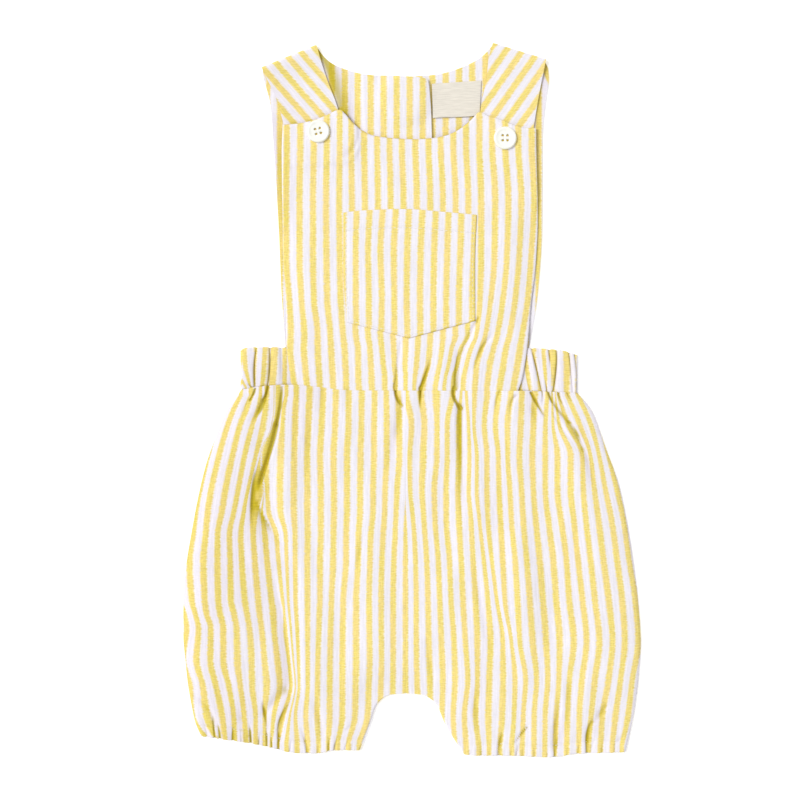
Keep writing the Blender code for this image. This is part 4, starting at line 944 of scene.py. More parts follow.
def graded(count, size):
    """Shares from 0 to 1, closer at both ends, where the edge turns down."""
    turn = TURNED_EDGE / size
    start = np.array(EDGE_ROWS) * turn
    middle = np.linspace(EDGE_ROWS_END * turn, 1 - EDGE_ROWS_END * turn, count + 1 - 2 * len(start))
    return np.concatenate((start, middle, 1 - start[::-1]))


def edge_distances(x, y):
    """Distance of each point of a grid from its first and last column and its first and last row."""
    found = []
    for axis in (1, 0):
        steps = np.hypot(np.diff(x, axis=axis), np.diff(y, axis=axis))
        run = np.cumsum(steps, axis=axis)
        start = np.zeros_like(np.take(run, [0], axis=axis))
        run = np.concatenate((start, run), axis=axis)
        found += [run, np.take(run, [-1], axis=axis) - run]
    return found


def turned_down(distance, drop, reach=TURNED_EDGE):
    """How far the cloth comes down as it rounds its edge."""
    away = np.clip(1 - distance / reach, 0, 1)
    return drop * (1 - np.sqrt(1 - away * away))


def put_in_scene(name, data):
    thing = bpy.data.objects.new(name, data)
    bpy.context.collection.objects.link(thing)
    return thing


def cloth_piece(name, grid, place, wall=SHELL, offset=-1.0):
    """A sewn piece of cloth, on a grid of columns and rows that is so wide and high. place gives
    x, y, z, the stripe count and length and the shade for shares across and up the grid."""
    columns, rows, width, height = grid
    across, up = np.meshgrid(graded(columns, width), graded(rows, height))
    x, y, z, count, length, shade = place(across, up)
    sheet = bmesh.new()
    bmesh.ops.create_grid(sheet, x_segments=columns, y_segments=rows, size=0.5)
    facing = (x[1, 2] - x[1, 1]) * (y[2, 1] - y[1, 1]) - (y[1, 2] - y[1, 1]) * (x[2, 1] - x[1, 1])
    if facing < 0:
        bmesh.ops.reverse_faces(sheet, faces=sheet.faces)
    mesh = bpy.data.meshes.new(name)
    sheet.to_mesh(mesh)
    sheet.free()
    corners = np.empty(len(mesh.vertices) * 3)
    mesh.vertices.foreach_get("co", corners)
    corners = corners.reshape(-1, 3).round(5)
    order = np.lexsort((corners[:, 0], corners[:, 1]))
    corners[order] = np.stack((x, y, z), axis=-1).reshape(-1, 3) * MM
    mesh.vertices.foreach_set("co", corners.ravel())
    grain = np.empty((len(corners), 2))
    grain[order] = np.stack((count, length), axis=-1).reshape(-1, 2)
    loops = np.empty(len(mesh.loops), dtype=np.int32)
    mesh.loops.foreach_get("vertex_index", loops)
    mesh.uv_layers.new(name="grain")
    mesh.uv_layers["grain"].data.foreach_set("uv", grain[loops].ravel())
    shades = np.empty(len(corners))
    shades[order] = shade.ravel()
    mesh.attributes.new("shade", "FLOAT", "POINT").data.foreach_set("value", shades)
    mesh.shade_smooth()
    mesh.update()
    piece = put_in_scene(name, mesh)
    thickness = piece.modifiers.new("wall", "SOLIDIFY")
    thickness.thickness = wall * MM
    thickness.offset = offset
    return piece


def dress(piece, material, slot, *nodes):
    """Gives a piece its material and its body, and hides the solids that it stands for. slot is not used.
    """
    piece.data.materials.append(material)
    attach(piece, "root")
    if nodes:
        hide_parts(*nodes)
    return piece


# ---- shorts ----

def shorts_spot(table, drop, across, section):
    """Plan of a half of the shorts, from its outer edge to the centre seam and inner leg."""
    x, y, drop_share = between_edges(table, section, across)
    y = y - drop_share * height_at(drop, across)
    straight = mix(table[0][2], table[0][4], across)
    seam = height_at(WAIST_LINE, x) - SEAM / 2
    y = y + (seam - straight) * smooth_step(1 - section / WAIST_SECTIONS)
    beside_seam = smooth_step((CROTCH_SECTION + CROTCH_END - section) / CROTCH_END)
    return x - outwards(table) * across * SEAM / 2 * beside_seam, y


def outwards(table):
    """1 for the left half of the shorts and -1 for the right one."""
    return 1 if table[0][1] < SEAM_X else -1


def shorts_front(table, drop, stripes, grain, across, up):
    up = up - ROWS_TO_ENDS * np.sin(2 * math.pi * up) / (2 * math.pi)
    x, y = shorts_spot(table, drop, across, SHORTS_SECTIONS * (1 - up))
    y = y + hem_notches(x) * fading(y - hem_line(x), HEM_NOTCH_REACH)
    outer, inner, low, high = edge_distances(x, y)
    z = shorts_height(x, y)
    shade = shaded(x, y, z, *FRONT_STEPS)
    side_drop = z - SIDE_HEIGHT
    beside_seam = up > 1 - CROTCH_SECTION / SHORTS_SECTIONS
    z = z - turned_down(outer, side_drop, SIDE_TURN)
    z = z - turned_down(inner, np.where(beside_seam, SEAM_DROP, side_drop))
    z = z - turned_down(high, *SEWN_TURN) - turned_down(low, *HEM_TURN)
    count = stripe_count(stripes, grain, -y, x) + drawn_in(PINCHES, x, y)
    return x, y, z, count, y / STRIPE, shade


def shorts_back(table, drop, stripes, grain, across, up):
    x, y = shorts_spot(table, drop, across, SHORTS_SECTIONS * (1 - up))
    inset = BACK_INSET * (1 - 2 * across) * outwards(table)
    beside_seam = up > 1 - CROTCH_SECTION / SHORTS_SECTIONS
    x = x + np.where((across > 0.5) & beside_seam, 0.0, inset)
    z = np.full_like(x, SHELL + OFF_GROUND)
    return x, y, z, stripe_count(stripes, grain, -y, x) + 0.5, y / STRIPE, np.zeros_like(x)


def build_shorts(material):
    halves = (
        ("left", SHORTS_LEFT, HEM_DROP_LEFT, LEFT_STRIPES, LEFT_GRAIN),
        ("right", SHORTS_RIGHT, HEM_DROP_RIGHT, RIGHT_STRIPES, RIGHT_GRAIN),
    )
    for side, *half in halves:
        piece = cloth_piece("front_of_shorts_" + side, FRONT_GRID, partial(shorts_front, *half))
        dress(piece, material, "striped_cloth", "shorts_front_" + side)
        piece = cloth_piece("back_of_shorts_" + side, BACK_GRID, partial(shorts_back, *half))
        dress(piece, material, "striped_cloth", "shorts_back_" + side)


# ---- bib and pocket ----

def bib_spot(across, up):
    rise = up**BIB_ROW_GRADING
    left, right = along_table(BIB_SIDES, rise)
    x = mix(left, right, height_at(BIB_COLUMNS, across))
    low = height_at(WAIST_LINE, x) + SEAM / 2
    return x, mix(low, height_at(BIB_TOP, x), rise)


def bib_surface(across, up):
    x, y = bib_spot(across, up)
    left, right, low, high = edge_distances(x, y)
    z = bib_height(x, y)
    shade = shaded(x, y, z, *BIB_STEPS)
    z = z - turned_down(left, BIB_LEFT_DROP) - turned_down(right, *BIB_RIGHT_TURN)
    z = z - turned_down(low, *SEWN_TURN)
    at_neck = span(x, *NECK_SPAN)
    z = z - turned_down(high, mix(BIB_CORNER_DROP, NECK_DROP, at_neck), NECK_TURN)
    shade = shade + BIB_SIDE_SHADE * edge_shade(right) + NECK_SHADE * edge_shade(high) * at_neck
    return x, y, z, stripe_count(BIB_STRIPES, BIB_GRAIN, y, x), y / STRIPE, np.clip(shade, 0, 1)


def pocket_spot(across, up):
    left, right = along_table(POCKET_SIDES, up)
    x = mix(left, right, across)
    low = np.interp(x, *zip(*POCKET_BOTTOM))
    return x, mix(low, height_at(POCKET_TOP, x), up)


def pocket_height(x, y):
    return bib_height(x, y) + POCKET_LIFT + POCKET_WALL


def pocket_surface(across, up):
    x, y = pocket_spot(across, up)
    left, right, low, high = edge_distances(x, y)
    edge = np.minimum(np.minimum(left, right), low)
    z = pocket_height(x, y) - turned_down(edge, *POCKET_TURN) - turned_down(high, *POCKET_TOP_TURN)
    z = z - POCKET_STITCH_DIP * swell(edge - POCKET_STITCH_INSET, POCKET_STITCH_WIDTH)
    z = z - POCKET_STITCH_DIP * swell(high - POCKET_HEM, POCKET_HEM_STITCH_WIDTH)
    z = z + POCKET_HEM_RISE * smooth_step((POCKET_HEM - high) / POCKET_HEM_SLOPE)
    count = stripe_count(POCKET_STRIPES, POCKET_GRAIN, y, x)
    shade = hollows(z, *POCKET_STEPS) * POCKET_HOLLOWS + POCKET_SIDE_SHADE * edge_shade(right)
    shade = shade + edge_shade(low) * smooth_step((x - POCKET_SHADE_START) / POCKET_SHADE_GROWTH)
    return x, y, z, count, y / STRIPE + POCKET_GRAIN_SHIFT, np.clip(shade, 0, 1)


def build_bib(material, thread):
    bib = cloth_piece("bib", BIB_GRID, bib_surface)
    dress(bib, material, "striped_cloth", "front_bib")
    pocket = cloth_piece("pocket", POCKET_GRID, pocket_surface, POCKET_WALL)
    dress(pocket, material, "striped_cloth", "chest_pocket")
    stitches = pocket_stitches(thread)


# ---- back halves with their straps ----

def lying_back(back, over_placket, across, section):
    """A back half on the ground, or over the placket and its button."""
    x, y = between_edges(back, section, across)
    y = y + (height_at(BAND_TOP, x) + SEAM_GAP - back[0][2]) * np.clip(1 - section, 0, 1)
    z = CLOTH / 2 + over_button(x, y, UPPER_HALF_WIDER * over_placket)
    return x, y, z + under_placket(x) * over_placket


def shoulder_fold(back, across, section):
    """The turn of the cloth over the shoulder, beyond the last row of the back."""
    start = np.array(back[-1][1:3])
    along = np.array(back[-1][3:5]) - start
    away = np.array((-along[1], along[0])) / np.hypot(*along)
    away = away * np.sign(away[1])
    turn = math.pi * np.clip((section - BACK_FOLD) / FOLD_STEPS, 0, 1)
    reach = FOLD_RADIUS * np.sin(turn)
    x, y = (start[i] + along[i] * across + away[i] * reach for i in (0, 1))
    return x, y, CLOTH / 2 + FOLD_RADIUS * (1 - np.cos(turn))


def laid_strap(strap, across, down):
    """The strap from the fold down the front."""
    x, y = between_edges(strap, down, across)
    settled = smooth_step(down / STRAP_SETTLE)
    return x, y, mix(CLOTH / 2 + 2 * FOLD_RADIUS, LAYER + CLOTH / 2, settled)


def back_shade(x, y, on_back):
    """Shade on a back half and its strap, beside the bib and under its top edge."""
    shade = crease_height(BESIDE_BIB, x, y) * on_back
    shade = shade + crease_height(STRAP_SHADE, x, y) * ~on_back
    on_strap = np.where(x < 0, UNDER_BIB_STRAP_SHADE, UNDER_BIB_RIGHT_STRAP_SHADE)
    below_edge = swell(y - height_at(BIB_TOP, x), UNDER_BIB_REACH)
    below_edge = below_edge * np.where(on_back, UNDER_BIB_SHADE, on_strap)
    shade = shade + below_edge * span(x, *UNDER_BIB_SPAN)
    left, right = bib_edges(np.clip(y, BIB_LOW, BIB_HIGH))
    beside_edge = swell(x - right, BESIDE_BIB_REACH)
    beside_edge = beside_edge + BESIDE_BIB_LEFT * swell(x - left, BESIDE_BIB_REACH)
    beside_edge = beside_edge * BESIDE_BIB_SHADE * on_back * (y < BIB_HIGH)
    return np.clip(shade + beside_edge, 0, 1)


def back_surface(back, strap, grain, over_placket, across, up):
    """Up the back on the ground, round the shoulder fold, and down the front to the strap's end."""
    section = (BACK_FOLD + FOLD_STEPS + STRAP_SECTIONS) * up
    down = section - (BACK_FOLD + FOLD_STEPS)
    lying = lying_back(back, over_placket, across, section)
    folded = shoulder_fold(back, across, section)
    laid = laid_strap(strap, across, down)
    x, y, z = (np.where(down > 0, third, np.where(section > BACK_FOLD, second, first))
               for first, second, third in zip(lying, folded, laid))
    first_x, spacing, slant, start, strap_spacing, whole = grain
    back_count = (lying[0] - first_x) / spacing
    strap_count = (x + slant * y - start) / strap_spacing + whole
    turning = mix(*GRAIN_TURN, across)
    count = mix(back_count, strap_count, smooth_step((section - BACK_FOLD) / turning + 1))
    return x, y, z, count, y / STRIPE, back_shade(x, y, section < BACK_FOLD)


def build_back(material):
    halves = (
        ("left", BACK_LEFT, STRAP_LEFT, GRAIN_BACK_LEFT, True),
        ("right", BACK_RIGHT, STRAP_RIGHT, GRAIN_BACK_RIGHT, False),
    )
    for side, *half in halves:
        piece = cloth_piece("back_and_strap_" + side, STRAP_GRID, partial(back_surface, *half), SHELL, 0.0)
        dress(piece, material, "striped_cloth", "back_" + side)


# ---- elastic casing of the waist ----

def casing_count(x, y, section):
    """Stripes of the casing: read off its two front parts, and gathered evenly along its back."""
    drawn = drawn_in(CASING_PLEATS, x, y)
    left = stripe_count(CASING_STRIPES, CASING_GRAIN_LEFT, y, x) + drawn
    right = stripe_count(CASING_STRIPES, CASING_GRAIN_RIGHT, y, x) + drawn
    left_end = stripe_count(CASING_STRIPES, CASING_GRAIN_LEFT, y, np.full_like(x, BAND_LEFT_TURN))
    right_end = stripe_count(CASING_STRIPES, CASING_GRAIN_RIGHT, y, np.full_like(x, BAND_RIGHT_TURN))
    left_even, right_even = CASING_SIDE_STRIPES
    back = left_even - BAND_BACK_STRIPES * (x - BAND_LEFT_TURN) / (BAND_RIGHT_TURN - BAND_LEFT_TURN)
    off_left = 1 - smooth_step((section - BAND_FRONT_LEFT) / BAND_TURN)
    back = back + (left_end - left_even) * off_left
    back = back + (right_end - right_even) * smooth_step((section - BAND_BACK_END) / BAND_TURN)
    right = right - right_even + left_even - BAND_BACK_STRIPES
    return np.where(section <= BAND_FRONT_LEFT, left, np.where(section >= BAND_RIGHT_START, right, back))


def band_surface(across, up):
    """Round the casing: front left, round the side, along the back, round, front right."""
    section = across * BAND_SECTIONS
    front_left = section <= BAND_FRONT_LEFT
    front_right = section >= BAND_RIGHT_START
    on_front = front_left | front_right
    first_turn = math.pi * np.clip((section - BAND_FRONT_LEFT) / BAND_TURN, 0, 1)
    last_turn = math.pi * np.clip((section - BAND_BACK_END) / BAND_TURN, 0, 1)
    left_x = mix(BAND_END_LEFT, BAND_LEFT_TURN, section / BAND_FRONT_LEFT)
    along_back = np.clip((section - BAND_BACK_START) / BAND_BACK, 0, 1)
    right_x = mix(BAND_RIGHT_TURN, BAND_END_RIGHT, (section - BAND_RIGHT_START) / BAND_FRONT_RIGHT)
    x = mix(BAND_LEFT_TURN, BAND_RIGHT_TURN, along_back)
    x = x - BAND_RADIUS * np.sin(first_turn) + BAND_RADIUS * np.sin(last_turn)
    x = np.where(front_left, left_x, np.where(front_right, right_x, x))
    z = CLOTH / 2 + BAND_RADIUS * (1 + np.cos(first_turn)) + BAND_RADIUS * (1 - np.cos(last_turn))
    y = mix(height_at(WAIST_LINE, x) + SEAM / 2, height_at(BAND_TOP, x), up)
    notch = BAND_NOTCH * np.maximum(-crease_height(CASING_PLEATS, x, y), 0)
    corner = BAND_CORNER * np.exp((BAND_LEFT - x) / BAND_CORNER)
    y = y - (np.where(on_front, notch, 0.0) + corner) * up**BAND_EDGE_POWER
    from_end = np.minimum(section, BAND_SECTIONS - section)
    clear_of_bib = smooth_step((from_end - BAND_UNDER_BIB) / BAND_UNDER_BIB)
    wave = BAND_WAVE * (0.5 + 0.5 * np.cos(2 * math.pi * (x - BAND_FIRST_PLEAT) / BAND_PLEAT))
    pleats = wave + mix(BAND_EDGE_PUFF, BAND_PUFF, np.sin(math.pi * up))
    pleats = pleats + crease_height(CASING_PLEATS, x, y)
    rise = pleats * clear_of_bib - BAND_END_SINK * (1 - clear_of_bib)
    _, _, low, high = edge_distances(x, y)
    rise = kept_above(rise, BAND_LOWEST, RELIEF_SOFTNESS)
    rise = rise - turned_down(low, *CASING_WAIST_TURN) - turned_down(high, *CASING_TOP_TURN)
    z = z + np.where(on_front, rise, 0.0)
    shade = shaded(x, y, z, *BAND_STEPS) * on_front
    return x, y, z, casing_count(x, y, section), y / STRIPE, shade


def build_waistband(material):
    piece = cloth_piece("elastic_casing", BAND_GRID, band_surface, SHELL, 0.0)
    dress(piece, material, "striped_cloth", "waistband")


# ---- stitches ----

def stitch_piece(name, lines, thread):
    """Rows of stitches as one piece: each line is a list of points, in order."""
    rows = bmesh.new()
    for line in lines:
        points = np.array(line)
        steps = np.linalg.norm(np.diff(points, axis=0), axis=1)
        run = np.concatenate(([0.0], np.cumsum(steps)))
        count = int(run[-1] // (STITCH + STITCH_GAP))
        for i in range(count):
            start = (i + STITCH_START) * run[-1] / count
            ends = [np.array([np.interp(at, run, points[:, k]) for k in range(3)])
                    for at in (start, start + STITCH)]
            lay_stitch(rows, *ends)
    mesh = bpy.data.meshes.new(name)
    rows.to_mesh(mesh)
    rows.free()
    mesh.shade_smooth()
    return dress(put_in_scene(name, mesh), thread, "striped_cloth")


def lay_stitch(rows, start, end):
    middle = Vector((start + end) / 2) * MM
    run = Vector(end - start) * MM
    turn = run.to_track_quat("Z", "X").to_matrix().to_4x4()
    half = STITCH_THICKNESS / 2 * MM
    size = Matrix.Diagonal((half, half, run.length / 2, 1.0))
    bmesh.ops.create_uvsphere(rows, u_segments=6, v_segments=4, radius=1.0,
                              matrix=Matrix.Translation(middle) @ turn @ size)


def on_surface(x, y, height):
    return np.stack((x, y, height(x, y) - STITCH_SINK), axis=-1)


def pocket_stitches(thread):
    """Round the pocket's sides and point, and along the foot of its top hem."""
    width, side, middle = (POCKET_STITCH_INSET / size for size in POCKET_SIZE)
    up = mix(side, POCKET_STITCHES_END, np.linspace(0, 1, 40))
    across = mix(width, 1 - width, np.linspace(0, 1, 60))
    sides = [pocket_spot(np.full_like(up, share), up) for share in (width, 1 - width)]
    foot = pocket_spot(across, np.full_like(across, middle))
    x, y = pocket_spot(across, np.ones_like(across))
    lines = [on_surface(*line, pocket_height) for line in (*sides, foot, (x, y - POCKET_HEM))]
    return stitch_piece("pocket_stitches", lines, thread)


def hem_stitches(thread):
    """Along the tops of the two leg hems."""
    for side, table in (("left", SHORTS_LEFT), ("right", SHORTS_RIGHT)):
        outer, inner = table[-1][1], table[-1][3]
        x = np.linspace(outer * HEM_STITCHES_END, inner + (outer - inner) * HEM_STITCHES_INNER, 120)
        line = on_surface(x, hem_line(x) + HEM_CASING, shorts_height)
        stitch_piece("hem_stitches_" + side, [line], thread)


# ---- buttons ----

def new_piece(name, mesh_edit, smooth=True):
    mesh = bpy.data.meshes.new(name)
    bmesh.ops.recalc_face_normals(mesh_edit, faces=mesh_edit.faces)
    mesh_edit.to_mesh(mesh)
    mesh_edit.free()
    if smooth:
        mesh.shade_smooth()
        mesh.set_sharp_from_angle(angle=SHARP_ANGLE)
    return put_in_scene(name, mesh)


def placed_piece(name, mesh_edit, spot):
    """A piece from millimetres round a button's middle, at the button's x, y, z and turn."""
    x, y, z, turn = spot
    place = Matrix.Diagonal((MM, MM, MM, 1)) @ Matrix.Translation((x, y, z)) @ Matrix.Rotation(turn, 4, "Z")
    bmesh.ops.transform(mesh_edit, matrix=place, verts=mesh_edit.verts)
    return new_piece(name, mesh_edit)


def turned_disc(height):
    """A disc turned from a button's outline."""
    disc = bmesh.new()
    outline = [disc.verts.new((BUTTON_RADIUS * r, 0.0, height * h)) for r, h in BUTTON_OUTLINE]
    edges = [disc.edges.new(pair) for pair in zip(outline[:-1], outline[1:])]
    bmesh.ops.spin(disc, geom=outline + edges, cent=(0, 0, 0), axis=(0, 0, 1), dvec=(0, 0, 0),
                   angle=2 * math.pi, steps=72, use_merge=True)
    bmesh.ops.remove_doubles(disc, verts=disc.verts, dist=0.0001)
    return disc


def build_button(name, node, spot, height, cream, hole_thread_in_shade):
    """A four-hole button with its rim, its holes cut through and its thread, painted darker down in the
    holes for their shade.
    """
    piece = placed_piece(name, turned_disc(height), spot)
    pins = bmesh.new()
    for x, y in HOLES:
        bmesh.ops.create_cone(pins, cap_ends=True, segments=20, radius1=BUTTON_HOLE_RADIUS,
                              radius2=BUTTON_HOLE_RADIUS, depth=12, matrix=Matrix.Translation((x, y, 0)))
    cutter = placed_piece(name + "_holes", pins, spot)
    holes = piece.modifiers.new("holes", "BOOLEAN")
    holes.operation = "DIFFERENCE"
    holes.solver = "EXACT"
    holes.object = cutter
    cut = bpy.data.meshes.new_from_object(piece.evaluated_get(bpy.context.evaluated_depsgraph_get()))
    piece.modifiers.clear()
    piece.data = cut
    bpy.data.objects.remove(cutter, do_unlink=True)
    dress(piece, cream, "button", node)
    top = height * BUTTON_OUTLINE[-1][1] + STRAND_LIFT
    strands = [(x + step, 0, top) for x in (-HOLE_REACH, HOLE_REACH)
               for step in (-STRAND_STEP, STRAND_STEP)]
    half_size = (STRAND_WIDTH, HOLE_REACH - STRAND_END, STRAND_HEIGHT)
    button_thread(name + "_strands", strands, half_size, (10, 8), spot, cream)
    # the thread down in the holes takes the colour of its painted shade
    deep = [(x, y, height * THREAD_LEVEL) for x, y in HOLES]
    half_size = (THREAD_WIDTH, THREAD_WIDTH, height * THREAD_DEPTH)
    button_thread(name + "_thread", deep, half_size, (12, 6), spot, hole_thread_in_shade)


def button_thread(name, middles, half_size, divisions, spot, material):
    """Round ends of thread in and over a button's holes."""
    bits = bmesh.new()
    for middle in middles:
        place = Matrix.Translation(middle) @ Matrix.Diagonal((*half_size, 1))
        bmesh.ops.create_uvsphere(bits, u_segments=divisions[0], v_segments=divisions[1], radius=1.0,
                                  matrix=place)
    dress(placed_piece(name, bits, spot), material, "button")


def build_buttons(*looks):
    ring = np.linspace(0, 2 * math.pi, 24, endpoint=False)
    for name, x, y, degrees in BUTTONS:
        around = [bib_height(x + BUTTON_RADIUS * r * np.cos(ring), y + BUTTON_RADIUS * r * np.sin(ring))
                  for r in (0.5, 0.8)]
        spot = (x, y, float(np.max(around)) - BUTTON_SINK, math.radians(degrees))
        build_button("shirt_" + name, name, spot, BUTTON_HEIGHT, *looks)
    spot = (*BACK_BUTTON, OFF_GROUND, 0.0)
    build_button("shirt_button_back", "button_back", spot, BACK_BUTTON_HEIGHT, *looks)


# ---- label ----

def label_surface(across, up):
    """The label, which waves a little at its lower end, where it isn't sewn on."""
    x, y = between_edges(LABEL_ENDS, up, across)
    y = y + LABEL_SWAY * np.sin(5 * across + 1) * (1 - up)
    edge = np.minimum.reduce(edge_distances(x, y))
    z = CLOTH + over_button(x, y) + LABEL_LIFT + LABEL_WALL - turned_down(edge, *LABEL_TURN)
    z = z + LABEL_BULGE * np.sin(math.pi * across) * (1 - up) + LABEL_RIPPLE * np.sin(9 * across + 3 * up)
    return x, y, z, x / STRIPE, y / STRIPE, np.zeros_like(x)


def build_label(material):
    piece = cloth_piece("label", LABEL_GRID, label_surface, LABEL_WALL)
    dress(piece, material, "label_cloth", "neck_label")


# ---- materials ----

def add_node(tree, kind, **settings):
    node = tree.nodes.new(kind)
    for name, value in settings.items():
        setattr(node, name, value)
    return node


def join(tree, source, socket):
    """Links a socket to another, or gives it a plain value."""
    if isinstance(source, bpy.types.NodeSocket):
        tree.links.new(source, socket)
    else:
        socket.default_value = source


def calculate(tree, operation, *values):
    node = add_node(tree, "ShaderNodeMath", operation=operation)
    for value, socket in zip(values, node.inputs):
        join(tree, value, socket)
    return node.outputs[0]


def blend_colours(tree, share, first, last):
    node = add_node(tree, "ShaderNodeMix", data_type="RGBA")
    for label, source in (("Factor", share), ("A", first), ("B", last)):
        join(tree, source, node.inputs[label])
    return node.outputs["Result"]


def ramp_value(tree, value, low, high, start, end):
    node = add_node(tree, "ShaderNodeMapRange", interpolation_type="SMOOTHSTEP")
    join(tree, value, node.inputs["Value"])
    for label, number in (("From Min", low), ("From Max", high), ("To Min", start), ("To Max", end)):
        node.inputs[label].default_value = number
    return node.outputs["Result"]


def tinted(tree, colour, factor):
    """A colour made lighter or darker by a factor."""
    node = add_node(tree, "ShaderNodeVectorMath", operation="SCALE")
    join(tree, colour, node.inputs[0])
    join(tree, factor, node.inputs["Scale"])
    return node.outputs[0]


def stretched_noise(tree, vector, across, along, detail):
    """Noise whose grains are longer one way than the other."""
    stretch = add_node(tree, "ShaderNodeVectorMath", operation="MULTIPLY")
    join(tree, vector, stretch.inputs[0])
    stretch.inputs[1].default_value = (across, along, 1.0)
    noise = add_node(tree, "ShaderNodeTexNoise")
    noise.inputs["Scale"].default_value = 1.0
    noise.inputs["Detail"].default_value = detail
    join(tree, stretch.outputs[0], noise.inputs["Vector"])
    return noise.outputs["Fac"]


def thread_weave():
    """Plain weave of warp and weft, with the slubs of linen: height, two slub masks and crossings."""
    group = bpy.data.node_groups.new("thread_weave", "ShaderNodeTree")
    group.interface.new_socket("Grain", in_out="INPUT", socket_type="NodeSocketVector")
    group.interface.new_socket("Threads", in_out="INPUT", socket_type="NodeSocketFloat")
    grain, threads = add_node(group, "NodeGroupInput").outputs[:2]
    split = add_node(group, "ShaderNodeSeparateXYZ")
    join(group, grain, split.inputs[0])
    waves = []
    for axis in ("X", "Y"):
        turns = calculate(group, "MULTIPLY", split.outputs[axis], threads)
        waves.append(calculate(group, "SINE", calculate(group, "MULTIPLY", turns, math.pi)))
    crossings = calculate(group, "MULTIPLY", *waves)
    warp = stretched_noise(group, grain, *WARP_NOISE)
    weft = stretched_noise(group, grain, *WEFT_NOISE)
    slubs = calculate(group, "ADD", warp, weft)
    height = calculate(group, "ADD", calculate(group, "MULTIPLY", crossings, WEAVE_RELIEF), slubs)
    made = {"Height": height, "Warp slubs": warp, "Weft slubs": weft, "Crossings": crossings}
    for label in made:
        group.interface.new_socket(label, in_out="OUTPUT", socket_type="NodeSocketFloat")
    result = add_node(group, "NodeGroupOutput")
    for label, value in made.items():
        join(group, value, result.inputs[label])
    return group


def woven(tree, weave, threads):
    """The grain of a piece, and the weave's outputs at that many threads to a stripe."""
    grain = add_node(tree, "ShaderNodeUVMap", uv_map="grain").outputs["UV"]
    cloth = add_node(tree, "ShaderNodeGroup", node_tree=weave)
    join(tree, grain, cloth.inputs["Grain"])
    cloth.inputs["Threads"].default_value = threads
    return grain, cloth.outputs


def new_material(name, roughness, sheen=0.0):
    material = bpy.data.materials.new(name)
    material.use_nodes = True
    surface = material.node_tree.nodes["Principled BSDF"]
    settings = {"Roughness": roughness, "Specular IOR Level": 0.2, "Sheen Weight": sheen,
                "Sheen Roughness": 0.6}
    for label, value in settings.items():
        surface.inputs[label].default_value = value
    return material, material.node_tree, surface


def bump(tree, surface, height, strength, distance):
    node = add_node(tree, "ShaderNodeBump")
    node.inputs["Strength"].default_value = strength
    node.inputs["Distance"].default_value = distance * MM
    join(tree, height, node.inputs["Height"])
    join(tree, node.outputs["Normal"], surface.inputs["Normal"])


def stripe_mask(tree, grain):
    """1 in the yellow stripes and 0 in the white ones, with edges that wander by some threads."""
    split = add_node(tree, "ShaderNodeSeparateXYZ")
    join(tree, grain, split.inputs[0])
    wander = calculate(tree, "MULTIPLY", stretched_noise(tree, grain, *WANDER_NOISE), STRIPE_WANDER)
    ragged = calculate(tree, "MULTIPLY", stretched_noise(tree, grain, *RAGGED_NOISE), STRIPE_RAGGED)
    off = calculate(tree, "SUBTRACT", calculate(tree, "ADD", wander, ragged), STRIPE_CENTRED)
    from_middle = calculate(tree, "PINGPONG", calculate(tree, "ADD", split.outputs["X"], off), 0.5)
    return ramp_value(tree, from_middle, *STRIPE_EDGE, 1.0, 0.0)


def striped_cloth(weave):
    """White cotton with yellow linen stripes, which follow the grain of each piece."""
    material, tree, surface = new_material("striped_linen", roughness=0.88, sheen=0.10)
    grain, threads = woven(tree, weave, THREADS_A_STRIPE)
    flecks = stretched_noise(tree, grain, *FLECK_NOISE)
    streaks = stretched_noise(tree, grain, *STREAK_NOISE)
    faded = stretched_noise(tree, grain, *FADED_NOISE)
    # Painted shade: the shade attribute darkens the yellow and the white into their colours in the shade of
    # folds, creases and edges
    shade = add_node(tree, "ShaderNodeAttribute", attribute_name="shade").outputs["Fac"]
    paler = calculate(tree, "ADD", ramp_value(tree, threads["Weft slubs"], *SLUBS_PALER),
                      ramp_value(tree, threads["Crossings"], *CROSSINGS_PALER))
    blends = (
        (paler, YELLOW_PALE),
        (ramp_value(tree, faded, *YELLOW_FADES), YELLOW_FADED),
        (ramp_value(tree, streaks, *YELLOW_STREAKS), YELLOW_FADED),
        (shade, YELLOW_IN_SHADE),
    )
    yellow = (*YELLOW_DEEP, 1)
    for share, colour in blends:
        yellow = blend_colours(tree, share, yellow, (*colour, 1))
    dyed = calculate(tree, "MULTIPLY", ramp_value(tree, flecks, *YELLOW_FLECKS),
                     ramp_value(tree, threads["Warp slubs"], *YELLOW_SLUBS))
    white = add_node(tree, "ShaderNodeValToRGB")
    join(tree, shade, white.inputs["Fac"])
    white.color_ramp.elements[0].color = (*WHITE_THREAD, 1)
    white.color_ramp.elements[1].color = (*WHITE_IN_CREASE_SHADE, 1)
    white.color_ramp.elements.new(FOLD_SHADE).color = (*WHITE_IN_FOLD_SHADE, 1)
    bleached = calculate(tree, "MULTIPLY", ramp_value(tree, flecks, *WHITE_FLECKS),
                         ramp_value(tree, threads["Warp slubs"], *WHITE_SLUBS))
    bleached = calculate(tree, "MULTIPLY", bleached, ramp_value(tree, streaks, *WHITE_STREAKS))
    colour = blend_colours(tree, stripe_mask(tree, grain), tinted(tree, white.outputs["Color"], bleached),
                           tinted(tree, yellow, dyed))
    join(tree, colour, surface.inputs["Base Color"])
    bump(tree, surface, threads["Height"], strength=0.5, distance=0.16)
    return material


def label_linen(weave):
    material, tree, surface = new_material("label_linen", roughness=0.9, sheen=0.1)
    _, threads = woven(tree, weave, THREADS_OF_LABEL)
    tone = ramp_value(tree, threads["Weft slubs"], *LABEL_SLUBS)
    join(tree, tinted(tree, LABEL_LINEN, tone), surface.inputs["Base Color"])
    bump(tree, surface, threads["Height"], strength=0.5, distance=0.12)
    return material


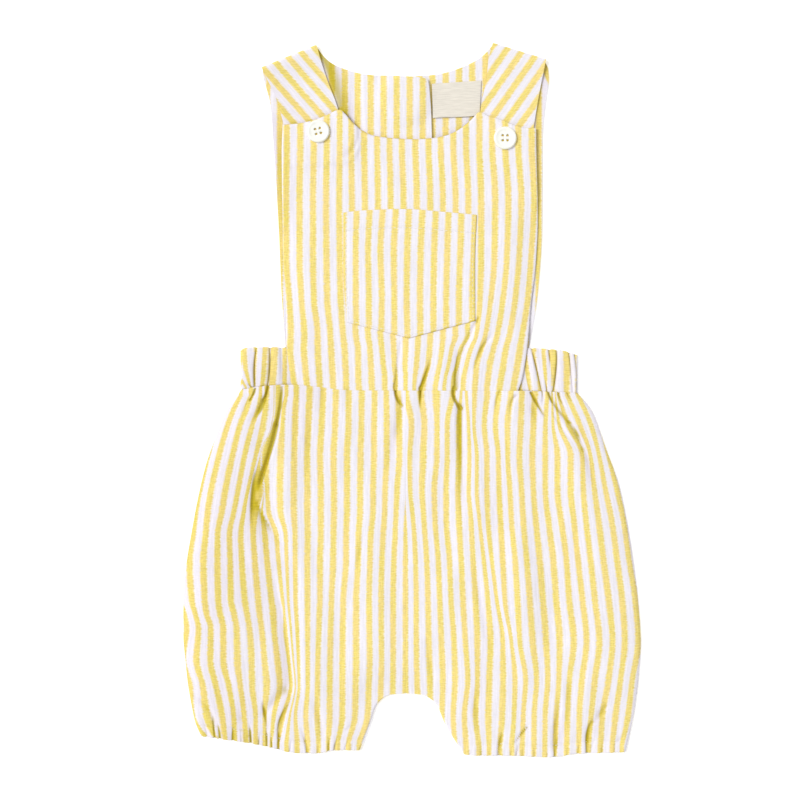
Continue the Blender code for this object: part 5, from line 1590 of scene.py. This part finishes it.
def clouded(tree, surface, colour, scale, tones, detail=2.0):
    """Gives a surface its colour with a faint cloud in it, whose noise it hands back."""
    place = add_node(tree, "ShaderNodeTexCoord").outputs["Object"]
    cloud = stretched_noise(tree, place, scale, scale, detail)
    tone = ramp_value(tree, cloud, 0.3, 0.7, *tones)
    join(tree, tinted(tree, colour, tone), surface.inputs["Base Color"])
    return cloud


def twisted_thread(name, colour):
    material, tree, surface = new_material(name, roughness=0.7, sheen=0.2)
    twist = clouded(tree, surface, colour, scale=2500.0, tones=(0.9, 1.05), detail=1.0)
    bump(tree, surface, twist, strength=0.3, distance=0.1)
    return material


def moulded_button():
    """Cream plastic with a soft polish."""
    material, tree, surface = new_material("button_cream", roughness=0.3)
    for label, value in (("Specular IOR Level", 0.5), ("Coat Weight", 0.3), ("Coat Roughness", 0.15)):
        surface.inputs[label].default_value = value
    cloud = clouded(tree, surface, BUTTON_CREAM, scale=300.0, tones=(0.97, 1.02))
    join(tree, ramp_value(tree, cloud, *BUTTON_POLISH), surface.inputs["Roughness"])
    return material


def build_floor():
    plane = bmesh.new()
    bmesh.ops.create_grid(plane, x_segments=1, y_segments=1, size=FLOOR_SIZE / 2,
                          matrix=Matrix.Translation((0, 0, -FLOOR_DROP * MM)))
    floor = new_piece("floor", plane, False)
    material, tree, surface = new_material("pale_floor", roughness=0.9)
    clouded(tree, surface, PALE_FLOOR, scale=3.0, tones=(0.995, 1.0))
    surface.inputs["Emission Color"].default_value = WHITE_LIGHT
    surface.inputs["Emission Strength"].default_value = FLOOR_GLOW
    floor.data.materials.append(material)


# ---- camera and light ----

def build_camera():
    camera = put_in_scene("camera", bpy.data.cameras.new("camera"))
    camera.data.lens = CAMERA_LENS
    camera.location = Vector((CAMERA_X, 0.0, CAMERA_HEIGHT)) * MM
    bpy.context.scene.camera = camera


def build_light():
    sun = bpy.data.lights.new("window", "SUN")
    sun.energy = KEY_STRENGTH
    sun.angle = math.radians(LIGHT_SOFTNESS)
    lamp = put_in_scene("window", sun)
    lamp.rotation_mode = "QUATERNION"
    lamp.rotation_quaternion = Vector(LIGHT_FROM).to_track_quat("Z", "Y")
    world = bpy.data.worlds.new("white_room")
    world.use_nodes = True
    background = world.node_tree.nodes["Background"]
    background.inputs["Color"].default_value = WHITE_LIGHT
    background.inputs["Strength"].default_value = FILL_STRENGTH
    bpy.context.scene.world = world
    bpy.context.scene.view_settings.view_transform = "Standard"


build_camera()
build_light()
build_floor()
weave = thread_weave()
cloth = striped_cloth(weave)
white_thread = twisted_thread("white_thread", COTTON_THREAD)
build_back(cloth)
build_waistband(cloth)
build_shorts(cloth)
build_bib(cloth, white_thread)
build_label(label_linen(weave))
hem_stitches(white_thread)
# the button thread's material is darkened for the painted shade in the holes
build_buttons(moulded_button(), twisted_thread("hole_thread_painted_shade", SHADED_HOLE_THREAD_COLOUR))
